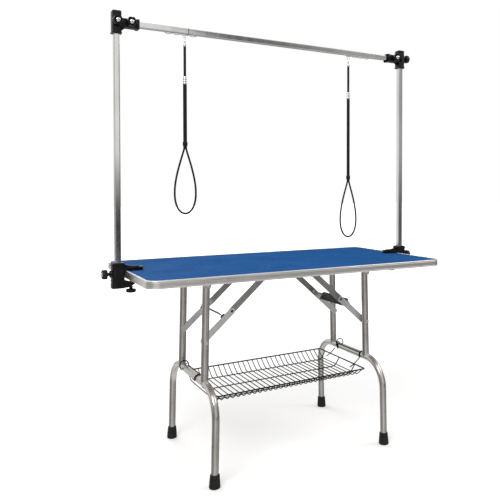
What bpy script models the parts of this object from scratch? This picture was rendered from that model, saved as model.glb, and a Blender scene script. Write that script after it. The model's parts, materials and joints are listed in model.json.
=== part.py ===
"""Folding pet grooming table: a board on two folding leg frames, a wire tray slung between them,
and an overhead bar on two clamped posts that carries a pair of nooses.

Metres, +Z up, +X along the table; the origin is on the floor under the middle of the board.
Each moving piece hangs from an empty that sits on its joint's axis.
"""

import math

import bmesh
import bpy
from mathutils import Matrix, Vector

# Driving dimensions of the table
TABLE_LENGTH = 1.18
TABLE_WIDTH = 0.61
TABLE_HEIGHT = 0.72
CORNER_RADIUS = 0.042
TRIM_HEIGHT = 0.026
TRIM_WALL = 0.002
TRIM_LIP = 0.008
LIP_THICKNESS = 0.0015
MAT_THICKNESS = 0.003
MAT_RISE = 0.0003  # by which the free rubber stands above what the trim and the clamps press down
MAT_BORDER = 0.0095
GAP = 0.0003  # between neighbouring pieces

# Steel channels screwed under the board
PLATE_HIGH = TABLE_HEIGHT - TRIM_HEIGHT + LIP_THICKNESS
PLATE_LOW = PLATE_HIGH - 0.0025
EAR_THICKNESS = 0.003
EAR_OVERLAP = 0.001  # of an ear with its plate

# Leg frames
HINGE_X = 0.337
HINGE_Z = 0.670
SPLAY = math.radians(1.27)
POST_Y = 0.124
POST_RADIUS = 0.0135
FOOT_Y = 0.238
FOOT_TUBE_RADIUS = 0.013
TUBE_WALL = 0.0013
CROSS_DROP = 0.351  # hinge axis to the centre of the cross tube, along the leg
BEND_RADIUS = 0.100
LEG_LENGTH = HINGE_Z / math.cos(SPLAY)
CAP_HEIGHT = 0.045
CAP_BASE = 0.008
PIN_RADIUS = 0.004
PIN_SIDES = 12
TUBE_SIDES = 16
HOLE_RADIUS = PIN_RADIUS + GAP
HINGE_EAR = 0.020  # half the length of an ear at its plate
HINGE_EAR_TIP = 0.011
PIN_HEAD = 0.003

# Folding braces: upper link from the board to the knee, lower link from the knee to the post
BRACE_DROP = 0.205  # hinge axis to the lower brace pivot, along the leg
BRACE_REACH = 0.227  # hinge axis to the upper brace pivot, along the board
LINK_WIDTH = 0.024
LINK_THICKNESS = 0.003
STUD_HEAD = 0.002
POST_INNER_Y = POST_Y - POST_RADIUS
LOWER_LINK_Y = POST_INNER_Y - GAP - LINK_THICKNESS / 2
UPPER_LINK_Y = LOWER_LINK_Y - GAP - LINK_THICKNESS
BRACE_RUN = BRACE_REACH + BRACE_DROP * math.sin(SPLAY)
BRACE_RISE = BRACE_DROP * math.cos(SPLAY)
BRACE_LENGTH = math.hypot(BRACE_RUN, BRACE_RISE)
BRACE_TILT = math.atan2(BRACE_RUN, BRACE_RISE)  # of the straight brace, from the vertical
BRACE_PLATE = 0.018
BRACE_EAR = 0.011
TIE_NEAR = 0.022  # where the tie bar crosses the lower links, measured from the knee
TIE_WIDTH = 0.018
TIE_THICKNESS = 0.0025
# Both links lie over each other when the leg is flat, which fixes their difference in length.
UPPER_LINK = (BRACE_LENGTH + BRACE_REACH - BRACE_DROP) / 2
LOWER_LINK = BRACE_LENGTH - UPPER_LINK

# Overhead bar and its posts
ARM_X = 0.612
ARM_TUBE = 0.020
ARM_WALL = 0.0012
ARM_BOTTOM = 0.668
ARM_TOP = 1.603
BAR_Z = 1.573
BAR_END = 0.598
SOCKET_WALL = 0.0052
SOCKET_BORE = ARM_TUBE / 2 + GAP
SOCKET_HALF = SOCKET_BORE + SOCKET_WALL
SOCKET_BOTTOM = 1.534
SOCKET_TOP = 1.612
SOCKET_REACH = 0.536
KNOB_RADIUS = 0.0175
KNOB_STEM = 0.0045
KNOB_HUB = 0.009
KNOB_LOW = 0.007
KNOB_HIGH = 0.020
SIDE_NECK = 0.009  # longer stem of the knobs that stand out sideways
KNOB_Z = BAR_Z + 0.002
LEFT_BAR_KNOB_X = -0.566
RIGHT_BAR_KNOB_X = 0.576
RAIL_PITCH = 0.030
RAIL_START = 0.325
RAIL_WAVES = 4
RAIL_DIP = 0.0062
RAIL_WIRE = 0.0015
RAIL_WELD = 0.0004  # by which the rail's crests sink into the bar
RAIL_CENTRE = BAR_Z - ARM_TUBE / 2 + RAIL_WELD - RAIL_WIRE / 2

# Clamps on the short edges
CLAMP_HALF_WIDTH = 0.021
CLAMP_OUTER = 0.6345
CLAMP_TOP = 0.748
CLAMP_BOTTOM = 0.660
JAW_TIP = 0.526
LOWER_JAW_TIP = 0.553
UPPER_JAW_HALF = 0.0185
LOWER_JAW_HALF = 0.0175
SCREW_X = 0.5675
SCREW_RADIUS = 0.004
DISC_RADIUS = 0.009
CLAMP_KNOB_Z = 0.7095

# Wire tray
TRAY_X = -0.006
TRAY_HALF_LENGTH = 0.311
TRAY_HALF_WIDTH = 0.1755
TRAY_RIM_Z = 0.285
TRAY_DEPTH = 0.0325
TRAY_FLARE = 0.045
TRAY_CROSS_WIRES = 29
CROSS_INSET = 0.012
END_FLARE = 0.022
RIM_WIRE = 0.0022
CROSS_WIRE = 0.0013
LONG_WIRE = 0.0018
LONG_WIRES_Y = (-0.104, 0.013, 0.128)
HANGER_WIRE = 0.0016

# Nooses
CORD_RADIUS = 0.0048
LOOP_RADIUS = 0.0036
LOOP_SPREAD = 0.052
SNAP_WIRE = 0.0012
SNAP_RING = 0.008

COLOURS = {
    "mat_rubber": ((0.02, 0.11, 0.36), 0.75, 0.0),
    "board_wood": ((0.42, 0.30, 0.19), 0.70, 0.0),
    "trim_aluminium": ((0.72, 0.71, 0.70), 0.35, 1.0),
    "leg_steel": ((0.50, 0.49, 0.48), 0.32, 1.0),
    "link_steel": ((0.42, 0.41, 0.41), 0.38, 1.0),
    "bracket_steel": ((0.55, 0.55, 0.55), 0.40, 1.0),
    "black_rubber": ((0.012, 0.012, 0.012), 0.70, 0.0),
    "black_plastic": ((0.015, 0.015, 0.016), 0.40, 0.0),
    "black_wire": ((0.015, 0.015, 0.015), 0.45, 0.3),
    "chrome": ((0.78, 0.77, 0.75), 0.12, 1.0),
    "nylon_cord": ((0.012, 0.012, 0.014), 0.85, 0.0),
}


# ---------------------------------------------------------------- shape helpers


# An outline's second coordinate becomes height, and its thickness runs along Y.
UPRIGHT = Matrix(((1, 0, 0, 0), (0, 0, 1, 0), (0, 1, 0, 0), (0, 0, 0, 1)))


def circle(radius, sides):
    """Points of a circle, as (side, normal) offsets."""
    turns = (2 * math.pi * i / sides for i in range(sides))
    return [(radius * math.cos(t), radius * math.sin(t)) for t in turns]


def rounded_rectangle(half_u, half_v, radius, steps):
    """Points of a rectangle with round corners, counter-clockwise."""
    points = []
    for corner, (su, sv) in enumerate(((1, 1), (-1, 1), (-1, -1), (1, -1))):
        for step in range(steps + 1):
            turn = math.pi / 2 * (corner + step / steps)
            points.append(
                (
                    su * (half_u - radius) + radius * math.cos(turn),
                    sv * (half_v - radius) + radius * math.sin(turn),
                )
            )
    return points


def arc(centre, radius, start, end, steps, axis_u, axis_v):
    """Points along an arc in the plane of two unit vectors, both ends included."""
    turns = (start + (end - start) * i / steps for i in range(steps + 1))
    return [
        centre + axis_u * (radius * math.cos(t)) + axis_v * (radius * math.sin(t))
        for t in turns
    ]


def section_rings(bm, path, ring, normal, closed):
    """One ring of vertices at each point of a flat path, mitred at its corners."""
    rings = []
    count = len(path)
    for i, point in enumerate(path):
        first = i == 0 and not closed
        last = i == count - 1 and not closed
        arriving = (path[i + 1] - point if first else point - path[i - 1]).normalized()
        leaving = arriving if last else (path[(i + 1) % count] - point).normalized()
        along = (arriving + leaving).normalized()
        stretch = 1 / along.dot(leaving)
        side = normal.cross(along)
        rings.append(
            [bm.verts.new(point + side * (u * stretch) + normal * v) for u, v in ring]
        )
    return rings


def skin(bm, rings, closed):
    count = len(rings)
    for i in range(count if closed else count - 1):
        here, there = rings[i], rings[(i + 1) % count]
        for j in range(len(here)):
            k = (j + 1) % len(here)
            bm.faces.new((here[j], here[k], there[k], there[j]))


def sweep(path, ring, normal, closed=False, bore=None):
    """A bar, or a tube when bore holds the inner ring, along a path in the plane of normal."""
    bm = bmesh.new()
    outer = section_rings(bm, path, ring, normal, closed)
    skin(bm, outer, closed)
    if bore:
        inner = section_rings(bm, path, bore, normal, closed)
        skin(bm, inner, closed)
        if not closed:
            for end in (0, -1):
                skin(bm, [outer[end], inner[end]], False)
    elif not closed:
        bm.faces.new(outer[0])
        bm.faces.new(outer[-1])
    return bm


def turned(profile, sides, matrix=Matrix()):
    """A solid of revolution about Z from (radius, height) points, then moved by matrix."""
    bm = bmesh.new()
    rings = []
    for radius, height in profile:
        count = sides if radius else 1
        ring = []
        for i in range(count):
            turn = 2 * math.pi * i / sides
            ring.append(bm.verts.new((radius * math.cos(turn), radius * math.sin(turn), height)))
        rings.append(ring)
    for low, high in zip(rings, rings[1:]):
        for i in range(sides):
            k = (i + 1) % sides
            corners = (low[i % len(low)], low[k % len(low)], high[k % len(high)], high[i % len(high)])
            bm.faces.new(list(dict.fromkeys(corners)))
    bm.transform(matrix)
    return bm


def slab(outline, low, high, matrix=Matrix()):
    """A flat outline given thickness along Z, then moved by matrix."""
    bm = bmesh.new()
    bottom = [bm.verts.new((x, y, low)) for x, y in outline]
    top = [bm.verts.new((x, y, high)) for x, y in outline]
    skin(bm, [bottom, top], False)
    bm.faces.new(bottom)
    bm.faces.new(top)
    bm.transform(matrix)
    return bm


def box(low, high):
    (x0, y0, z0), (x1, y1, z1) = low, high
    return slab([(x0, y0), (x1, y0), (x1, y1), (x0, y1)], z0, z1)


def rod(start, end, radius, sides):
    """A round bar between two points."""
    start, end = Vector(start), Vector(end)
    along = end - start
    turn = along.to_track_quat("Z", "Y").to_matrix().to_4x4()
    profile = [(0, 0), (radius, 0), (radius, along.length), (0, along.length)]
    return turned(profile, sides, Matrix.Translation(start) @ turn)


# ---------------------------------------------------------------- object helpers

materials = {}


def material(name):
    if name not in materials:
        colour, roughness, metallic = COLOURS[name]
        made = bpy.data.materials.new(name)
        made.use_nodes = True
        shader = made.node_tree.nodes["Principled BSDF"]
        shader.inputs["Base Color"].default_value = (*colour, 1)
        shader.inputs["Roughness"].default_value = roughness
        shader.inputs["Metallic"].default_value = metallic
        materials[name] = made
    return materials[name]


def place(name, bm, parent=None, look=None):
    """An object from a mesh in its parent's space. Without a look it is a hidden Boolean helper."""
    bmesh.ops.recalc_face_normals(bm, faces=bm.faces)
    mesh = bpy.data.meshes.new(name)
    bm.to_mesh(mesh)
    bm.free()
    made = bpy.data.objects.new(name, mesh)
    bpy.context.scene.collection.objects.link(made)
    made.parent = parent
    if look:
        mesh.materials.append(material(look))
        mesh.shade_smooth()
        mesh.set_sharp_from_angle(angle=math.radians(35))
    else:
        made.hide_render = True
        made.display_type = "WIRE"
    return made


def combine(target, bm, operation):
    """Joins a shape in the target's own space to it, or cuts that shape out of it."""
    tool = place(f"{target.name}_{operation.lower()}_{len(target.modifiers)}", bm, target.parent)
    step = target.modifiers.new(tool.name, "BOOLEAN")
    step.operation = operation
    step.solver = "EXACT"
    step.object = tool


def joint_frame(name, location, parent=None, tilt=0.0):
    """An empty on a joint's axis, tilted about Y."""
    empty = bpy.data.objects.new(name, None)
    empty.empty_display_size = 0.03
    bpy.context.scene.collection.objects.link(empty)
    empty.parent = parent
    empty.location = location
    empty.rotation_euler = (0, tilt, 0)
    return empty


X_AXIS = Vector((1, 0, 0))
Y_AXIS = Vector((0, 1, 0))
Z_AXIS = Vector((0, 0, 1))
FROM_Z_TO_Y = Matrix.Rotation(-math.pi / 2, 4, "X")


# ---------------------------------------------------------------- table top


def table_outline(inset):
    return rounded_rectangle(
        TABLE_LENGTH / 2 - inset, TABLE_WIDTH / 2 - inset, CORNER_RADIUS - inset, 6
    )


def build_top():
    mat_high = TABLE_HEIGHT - LIP_THICKNESS - GAP
    mat_low = mat_high - MAT_THICKNESS
    inside = TRIM_WALL + GAP
    board = slab(table_outline(inside), PLATE_HIGH + GAP, mat_low - GAP)
    place("board", board, look="board_wood")
    mat = place("top_mat", slab(table_outline(inside), mat_low, mat_high), look="mat_rubber")
    # The free rubber stands a little higher than the border under the lip and each clamp's print.
    field = slab(table_outline(MAT_BORDER), mat_high - MAT_THICKNESS / 2, mat_high + MAT_RISE)
    combine(mat, field, "UNION")
    print_width = UPPER_JAW_HALF + MAT_BORDER / 4
    for side in (-1, 1):
        near, far = sorted((side * (JAW_TIP - MAT_BORDER / 4), side * TABLE_LENGTH))
        low = (near, -print_width, mat_high - GAP / 3)
        high = (far, print_width, mat_high + MAT_THICKNESS)
        combine(mat, box(low, high), "DIFFERENCE")
    # The trim is a channel: wall outside, one lip over the mat and one under the board.
    profile = [
        (0, -TRIM_HEIGHT),
        (0, 0),
        (-TRIM_LIP, 0),
        (-TRIM_LIP, -LIP_THICKNESS),
        (-TRIM_WALL, -LIP_THICKNESS),
        (-TRIM_WALL, LIP_THICKNESS - TRIM_HEIGHT),
        (-TRIM_LIP, LIP_THICKNESS - TRIM_HEIGHT),
        (-TRIM_LIP, -TRIM_HEIGHT),
    ]
    path = [Vector((x, y, TABLE_HEIGHT)) for x, y in table_outline(0)]
    # Counter-clockwise travel puts the side axis on the inside, so the offsets are turned round.
    ring = [(-u, v) for u, v in profile]
    place("edge_trim", sweep(path, ring, Z_AXIS, closed=True), look="trim_aluminium")


# ---------------------------------------------------------------- leg frames


def hinge_bracket(label, side):
    """A channel screwed under the board, with an ear outside each post and a pivot rod between."""
    centre = side * HINGE_X
    ear_inner = POST_Y + POST_RADIUS + EAR_THICKNESS / 2
    ear_outer = ear_inner + EAR_THICKNESS
    half = HINGE_EAR
    plate = box((centre - half, -ear_outer, PLATE_LOW), (centre + half, ear_outer, PLATE_HIGH))
    bracket = place(f"{label}_hinge_bracket", plate, look="bracket_steel")
    ear_low = HINGE_Z - 0.013
    shoulder = PLATE_LOW - 0.004
    for end in (-1, 1):
        near, far = sorted((end * ear_inner, end * ear_outer))
        ear = slab(
            [
                (centre - half, PLATE_HIGH - EAR_OVERLAP),
                (centre - half, shoulder),
                (centre - HINGE_EAR_TIP, ear_low),
                (centre + HINGE_EAR_TIP, ear_low),
                (centre + half, shoulder),
                (centre + half, PLATE_HIGH - EAR_OVERLAP),
            ],
            near,
            far,
            UPRIGHT,
        )
        combine(bracket, ear, "UNION")
    through = ear_outer + 0.01
    hole = rod((centre, -through, HINGE_Z), (centre, through, HINGE_Z), HOLE_RADIUS, PIN_SIDES)
    combine(bracket, hole, "DIFFERENCE")
    reach = ear_outer + GAP + PIN_HEAD
    head = PIN_RADIUS + PIN_HEAD
    profile = [
        (0, -reach),
        (head, -reach),
        (head, -ear_outer - GAP),
        (PIN_RADIUS, -ear_outer - GAP),
        (PIN_RADIUS, ear_outer + GAP),
        (head, ear_outer + GAP),
        (head, reach),
        (0, reach),
    ]
    at_hinge = Matrix.Translation((centre, 0, HINGE_Z)) @ FROM_Z_TO_Y
    place(f"{label}_hinge_rod", turned(profile, PIN_SIDES, at_hinge), look="bracket_steel")


def leg_post(label, end_name, end, frame):
    """An upright tube, coped over the cross tube and drilled for the hinge and the brace."""
    top = Vector((0, end * POST_Y, POST_RADIUS - 0.001))
    bottom = Vector((0, end * POST_Y, FOOT_TUBE_RADIUS / 3 - CROSS_DROP))
    outside = circle(POST_RADIUS, TUBE_SIDES)
    bore = circle(POST_RADIUS - TUBE_WALL, TUBE_SIDES)
    post = sweep([top, bottom], outside, Y_AXIS, bore=bore)
    made = place(f"{label}_{end_name}_post", post, frame, "leg_steel")
    for height, radius, sides in (
        (0, HOLE_RADIUS, PIN_SIDES),
        (-BRACE_DROP, HOLE_RADIUS, PIN_SIDES),
        (-CROSS_DROP, FOOT_TUBE_RADIUS + GAP, TUBE_SIDES),
    ):
        low = (0, end * POST_Y - 2 * POST_RADIUS, height)
        high = (0, end * POST_Y + 2 * POST_RADIUS, height)
        combine(made, rod(low, high, radius, sides), "DIFFERENCE")


def foot_tube(label, frame):
    """One tube bent into an upside-down U: both feet and the cross tube between them."""
    tip = CAP_BASE + GAP - LEG_LENGTH
    bend_y = FOOT_Y - BEND_RADIUS
    bend_z = -CROSS_DROP - BEND_RADIUS
    path = [Vector((0, -FOOT_Y, tip))]
    for start, end, y in ((math.pi, math.pi / 2, -bend_y), (math.pi / 2, 0, bend_y)):
        path += arc(Vector((0, y, bend_z)), BEND_RADIUS, start, end, 5, Y_AXIS, Z_AXIS)
    path.append(Vector((0, FOOT_Y, tip)))
    outside = circle(FOOT_TUBE_RADIUS, TUBE_SIDES)
    bore = circle(FOOT_TUBE_RADIUS - TUBE_WALL, TUBE_SIDES)
    place(f"{label}_foot_tube", sweep(path, outside, X_AXIS, bore=bore), frame, "leg_steel")


def foot_cap(label, end_name, end, side, frame):
    """A rubber cup on the tube's end; its sole is level with the floor although the leg leans."""
    bore = FOOT_TUBE_RADIUS + GAP
    profile = [
        (0, 0),
        (0.0180, 0),
        (0.0192, 0.003),
        (0.0182, 0.020),
        (0.0165, CAP_HEIGHT - 0.002),
        (0.0155, CAP_HEIGHT),
        (bore, CAP_HEIGHT),
        (bore, CAP_BASE),
        (0, CAP_BASE),
    ]
    level = Matrix(((1, 0, 0, 0), (0, 1, 0, 0), (-side * math.tan(SPLAY), 0, 1, 0), (0, 0, 0, 1)))
    sole = Matrix.Translation((0, end * FOOT_Y, -LEG_LENGTH))
    cap = turned(profile, TUBE_SIDES, sole @ level)
    place(f"{label}_{end_name}_foot_cap", cap, frame, "black_rubber")


def brace_bolt(label, end_name, end, frame):
    """A shouldered bolt through the post, its head outside, where the lower link pivots."""
    inner = POST_INNER_Y + GAP / 2
    outer = POST_Y + POST_RADIUS + GAP
    head = PIN_RADIUS + PIN_HEAD
    crown = outer + PIN_HEAD + 0.002
    profile = [
        (0, inner),
        (PIN_RADIUS, inner),
        (PIN_RADIUS, outer),
        (head, outer),
        (head, outer + PIN_HEAD),
        (PIN_RADIUS, crown),
        (0, crown),
    ]
    turn = Matrix.Rotation(-end * math.pi / 2, 4, "X")
    bolt = turned(profile, PIN_SIDES, Matrix.Translation((0, 0, -BRACE_DROP)) @ turn)
    place(f"{label}_{end_name}_brace_bolt", bolt, frame, "bracket_steel")


def tray_hanger(label, side, back, front, frame):
    """A wire clipped over the cross tube at two places, with a sprung arch at its back end."""
    centre = Vector((0, 0, -CROSS_DROP))
    reach = FOOT_TUBE_RADIUS + GAP + HANGER_WIRE
    inward = X_AXIS * -side
    ring = circle(HANGER_WIRE, 6)
    hooks = []
    for y in (back, front):
        around = arc(
            centre + Y_AXIS * y,
            reach,
            math.radians(-35),
            math.radians(190),
            9,
            inward,
            Z_AXIS,
        )
        hooks.append(sweep(around, ring, Y_AXIS))
    lean = math.radians(48)
    lie = centre + inward * (reach * math.cos(lean)) + Z_AXIS * (reach * math.sin(lean))
    length = sweep([lie + Y_AXIS * back, lie + Y_AXIS * front], ring, Z_AXIS)
    rise = 0.017
    foot_gap = 0.011
    foot = lie + Y_AXIS * (back - foot_gap)
    arch = [foot - Y_AXIS * foot_gap]
    arch += arc(foot + Z_AXIS * rise, foot_gap, math.pi, 0, 6, Y_AXIS, Z_AXIS)
    arch.append(foot + Y_AXIS * foot_gap)
    hanger = place(f"{label}_tray_hanger", length, frame, "black_wire")
    for shape in (*hooks, sweep(arch, ring, X_AXIS)):
        combine(hanger, shape, "UNION")


# ---------------------------------------------------------------- braces


def link_shape(length, y):
    """A flat bar with round ends, hanging down from the pivot at the origin."""
    half = LINK_WIDTH / 2
    steps = 8
    outline = []
    for centre, start in ((0, 0), (-length, math.pi)):
        for i in range(steps + 1):
            turn = start + math.pi * i / steps
            outline.append((half * math.cos(turn), centre + half * math.sin(turn)))
    return slab(outline, y - LINK_THICKNESS / 2, y + LINK_THICKNESS / 2, UPRIGHT)


def drill(target, y, height):
    low = (0, y - 2 * LINK_THICKNESS, height)
    high = (0, y + 2 * LINK_THICKNESS, height)
    combine(target, rod(low, high, HOLE_RADIUS, PIN_SIDES), "DIFFERENCE")


def build_brace(label, side):
    """Two front and back struts, each of two links that meet at the knee, and the bar between."""
    tilt = -side * BRACE_TILT
    upper = joint_frame(
        f"{label}_upper_brace_pivot", (side * (HINGE_X - BRACE_REACH), 0, HINGE_Z), tilt=tilt
    )
    lower = joint_frame(f"{label}_knee_pivot", (0, 0, -UPPER_LINK), upper)
    for end_name, end in (("front", -1), ("back", 1)):
        y = end * UPPER_LINK_Y
        shape = link_shape(UPPER_LINK, y)
        link = place(f"{label}_{end_name}_upper_link", shape, upper, "link_steel")
        # The knee's stud belongs to the upper link and ends flush with the lower one.
        inner = (0, end * (UPPER_LINK_Y - LINK_THICKNESS / 2 - STUD_HEAD), -UPPER_LINK)
        outer = (0, end * (LOWER_LINK_Y + LINK_THICKNESS / 2 - GAP / 3), -UPPER_LINK)
        combine(link, rod(inner, outer, PIN_RADIUS, PIN_SIDES), "UNION")
        drill(link, y, 0)
        y = end * LOWER_LINK_Y
        shape = link_shape(LOWER_LINK, y)
        link = place(f"{label}_{end_name}_lower_link", shape, lower, "link_steel")
        drill(link, y, 0)
        drill(link, y, -LOWER_LINK)
    # The tie bar lies on the edge of the lower links that faces the posts, clear of the upper ones.
    edge = LINK_WIDTH / 2 + GAP
    near, far = sorted((side * edge, side * (edge + TIE_THICKNESS)))
    reach = POST_INNER_Y - 2 * GAP
    bar = box((near, -reach, -TIE_NEAR - TIE_WIDTH), (far, reach, -TIE_NEAR))
    place(f"{label}_tie_bar", bar, lower, "black_plastic")


def brace_bracket(label, side):
    """A channel under the board whose ears carry the pin of both upper links."""
    centre = side * (HINGE_X - BRACE_REACH)
    ear_outer = UPPER_LINK_Y - LINK_THICKNESS / 2 - GAP
    ear_inner = ear_outer - EAR_THICKNESS
    low = (centre - BRACE_PLATE, -ear_outer, PLATE_LOW)
    high = (centre + BRACE_PLATE, ear_outer, PLATE_HIGH)
    bracket = place(f"{label}_brace_bracket", box(low, high), look="bracket_steel")
    for end in (-1, 1):
        near, far = sorted((end * ear_inner, end * ear_outer))
        low = (centre - BRACE_EAR, near, HINGE_Z - BRACE_EAR)
        high = (centre + BRACE_EAR, far, PLATE_HIGH - EAR_OVERLAP)
        combine(bracket, box(low, high), "UNION")
    tip = UPPER_LINK_Y + LINK_THICKNESS / 2
    pin = rod((centre, -tip, HINGE_Z), (centre, tip, HINGE_Z), PIN_RADIUS, PIN_SIDES)
    combine(bracket, pin, "UNION")


def build_leg(label, side, hanger_back, hanger_front):
    hinge_bracket(label, side)
    frame = joint_frame(f"{label}_leg_hinge", (side * HINGE_X, 0, HINGE_Z), tilt=-side * SPLAY)
    for end_name, end in (("front", -1), ("back", 1)):
        leg_post(label, end_name, end, frame)
        foot_cap(label, end_name, end, side, frame)
        brace_bolt(label, end_name, end, frame)
    foot_tube(label, frame)
    tray_hanger(label, side, hanger_back, hanger_front, frame)
    brace_bracket(label, side)
    build_brace(label, side)


# ---------------------------------------------------------------- wire tray


def cross_wire_path(x):
    """From rim to rim across the tray: down one flared side, over the floor and up the other."""
    floor_z = TRAY_RIM_Z - TRAY_DEPTH
    floor_y = TRAY_HALF_WIDTH - TRAY_FLARE
    half = [
        (TRAY_HALF_WIDTH, TRAY_RIM_Z),
        (floor_y + 0.014, floor_z + 0.0045),
        (floor_y - 0.006, floor_z),
    ]
    points = [Vector((x, -y, z)) for y, z in half]
    points += [Vector((x, y, z)) for y, z in reversed(half)]
    return points


def wires(paths, radius, normal):
    """Several thin bars of the same gauge in one mesh."""
    together = bmesh.new()
    for path in paths:
        single = sweep(path, circle(radius, 4), normal)
        mesh = bpy.data.meshes.new("wire")
        single.to_mesh(mesh)
        single.free()
        together.from_mesh(mesh)
        bpy.data.meshes.remove(mesh)
    return together


def build_tray():
    end = TRAY_HALF_LENGTH
    rim_ring = circle(RIM_WIRE, 6)
    rim_path = [
        Vector((TRAY_X + x, y, TRAY_RIM_Z))
        for x, y in rounded_rectangle(end, TRAY_HALF_WIDTH, 0.018, 3)
    ]
    tray = place("tray_basket", sweep(rim_path, rim_ring, Z_AXIS, closed=True), look="black_wire")
    first = TRAY_X - end + CROSS_INSET
    pitch = 2 * (end - CROSS_INSET) / (TRAY_CROSS_WIRES - 1)
    paths = [cross_wire_path(first + i * pitch) for i in range(TRAY_CROSS_WIRES)]
    combine(tray, wires(paths, CROSS_WIRE, X_AXIS), "UNION")
    under = TRAY_RIM_Z - TRAY_DEPTH - LONG_WIRE / 2
    profile = [
        (TRAY_X - end, TRAY_RIM_Z),
        (TRAY_X - end + END_FLARE, under),
        (TRAY_X + end - END_FLARE, under),
        (TRAY_X + end, TRAY_RIM_Z),
    ]
    paths = [[Vector((x, y, z)) for x, z in profile] for y in LONG_WIRES_Y]
    combine(tray, wires(paths, LONG_WIRE, Y_AXIS), "UNION")


# ---------------------------------------------------------------- overhead bar


def square_tube(start, end, normal):
    outer = rounded_rectangle(ARM_TUBE / 2, ARM_TUBE / 2, 0.0025, 2)
    half = ARM_TUBE / 2 - ARM_WALL
    inner = rounded_rectangle(half, half, 0.0013, 2)
    return sweep([Vector(start), Vector(end)], outer, normal, bore=inner)


def hook_rail(side):
    """A wire under the bar that dips between its welds, so that a snap can hang in each dip."""
    steps = 5
    path = []
    for i in range(RAIL_WAVES * steps + 1):
        x = RAIL_START + RAIL_PITCH * i / steps
        dip = RAIL_DIP * math.sin(math.pi * (i % steps) / steps) ** 0.8
        path.append(Vector((side * x, 0, RAIL_CENTRE - dip)))
    return sweep(path, circle(RAIL_WIRE, 6), Y_AXIS)


def rounded_box(low, high, radius):
    """A box whose vertical edges are round."""
    middle = [(a + b) / 2 for a, b in zip(low, high)]
    half = [(b - a) / 2 for a, b in zip(low, high)]
    outline = rounded_rectangle(half[0], half[1], radius, 2)
    shift = Matrix.Translation((middle[0], middle[1], 0))
    return slab(outline, low[2], high[2], shift)


def corner_socket(label, side, frame):
    """The moulded corner that joins a post to the bar: two square sleeves at right angles."""
    post = side * ARM_X
    half = SOCKET_HALF
    low = (post - half, -half, SOCKET_BOTTOM)
    high = (post + half, half, SOCKET_TOP)
    socket = place(f"{label}_corner_socket", rounded_box(low, high, 0.004), frame, "black_plastic")
    inner, outer = sorted((side * SOCKET_REACH, side * (ARM_X - 0.002)))
    arm = box((inner, -half, BAR_Z - half), (outer, half, BAR_Z + half))
    combine(socket, arm, "UNION")
    lip = 0.0018
    edge = sorted((side * SOCKET_REACH, side * (SOCKET_REACH + 0.010)))
    collar = box(
        (edge[0], -half - lip, BAR_Z - half - lip), (edge[1], half + lip, BAR_Z + half + lip)
    )
    combine(socket, collar, "UNION")
    bore = SOCKET_BORE
    post_bore = box((post - bore, -bore, SOCKET_BOTTOM - 0.01), (post + bore, bore, ARM_TOP + GAP))
    combine(socket, post_bore, "DIFFERENCE")
    near, far = sorted((side * (SOCKET_REACH - 0.01), side * (BAR_END + GAP)))
    bar_bore = box((near, -bore, BAR_Z - bore), (far, bore, BAR_Z + bore))
    combine(socket, bar_bore, "DIFFERENCE")


def hand_knob(name, face, direction, frame, lobes=6, neck=0.0):
    """A lobed knob on a short stem; face is the surface that it stands on, seen along direction."""
    low = KNOB_LOW + neck
    high = KNOB_HIGH + neck
    outline = []
    steps = lobes * 3
    for i in range(steps):
        turn = 2 * math.pi * i / steps
        ripple = 0.5 + 0.5 * math.cos(lobes * turn)
        size = KNOB_RADIUS * (0.86 + 0.14 * ripple)
        outline.append((size * math.cos(turn), size * math.sin(turn)))
    start = Vector(face) + Vector(direction) * GAP
    turn = Vector(direction).to_track_quat("Z", "Y").to_matrix().to_4x4()
    matrix = Matrix.Translation(start) @ turn
    knob = place(name, slab(outline, low, high, matrix), frame, "black_plastic")
    hub = [
        (0, 0),
        (KNOB_STEM, 0),
        (KNOB_STEM, low - 0.001),
        (KNOB_HUB, low + 0.001),
        (KNOB_HUB, high + 0.001),
        (KNOB_STEM, high + 0.004),
        (0, high + 0.004),
    ]
    combine(knob, turned(hub, PIN_SIDES, matrix), "UNION")


def build_gantry():
    frame = joint_frame("gantry_height", (0, 0, 0))
    for label, side in (("left", -1), ("right", 1)):
        start = (side * ARM_X, 0, ARM_BOTTOM)
        end = (side * ARM_X, 0, ARM_TOP)
        place(f"{label}_arm_post", square_tube(start, end, Y_AXIS), frame, "chrome")
        corner_socket(label, side, frame)
    bar = square_tube((-BAR_END, 0, BAR_Z), (BAR_END, 0, BAR_Z), Y_AXIS)
    overhead = place("overhead_bar", bar, frame, "chrome")
    for side in (-1, 1):
        combine(overhead, hook_rail(side), "UNION")
    for name, x in (
        ("left_post_knob", -ARM_X),
        ("left_bar_knob", LEFT_BAR_KNOB_X),
        ("right_bar_knob", RIGHT_BAR_KNOB_X),
    ):
        hand_knob(name, (x, -SOCKET_HALF, KNOB_Z), (0, -1, 0), frame)
    outside = (ARM_X + SOCKET_HALF, 0, KNOB_Z + 0.004)
    hand_knob("right_post_knob", outside, (1, 0, 0), frame, neck=SIDE_NECK)


# ---------------------------------------------------------------- edge clamps


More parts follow.
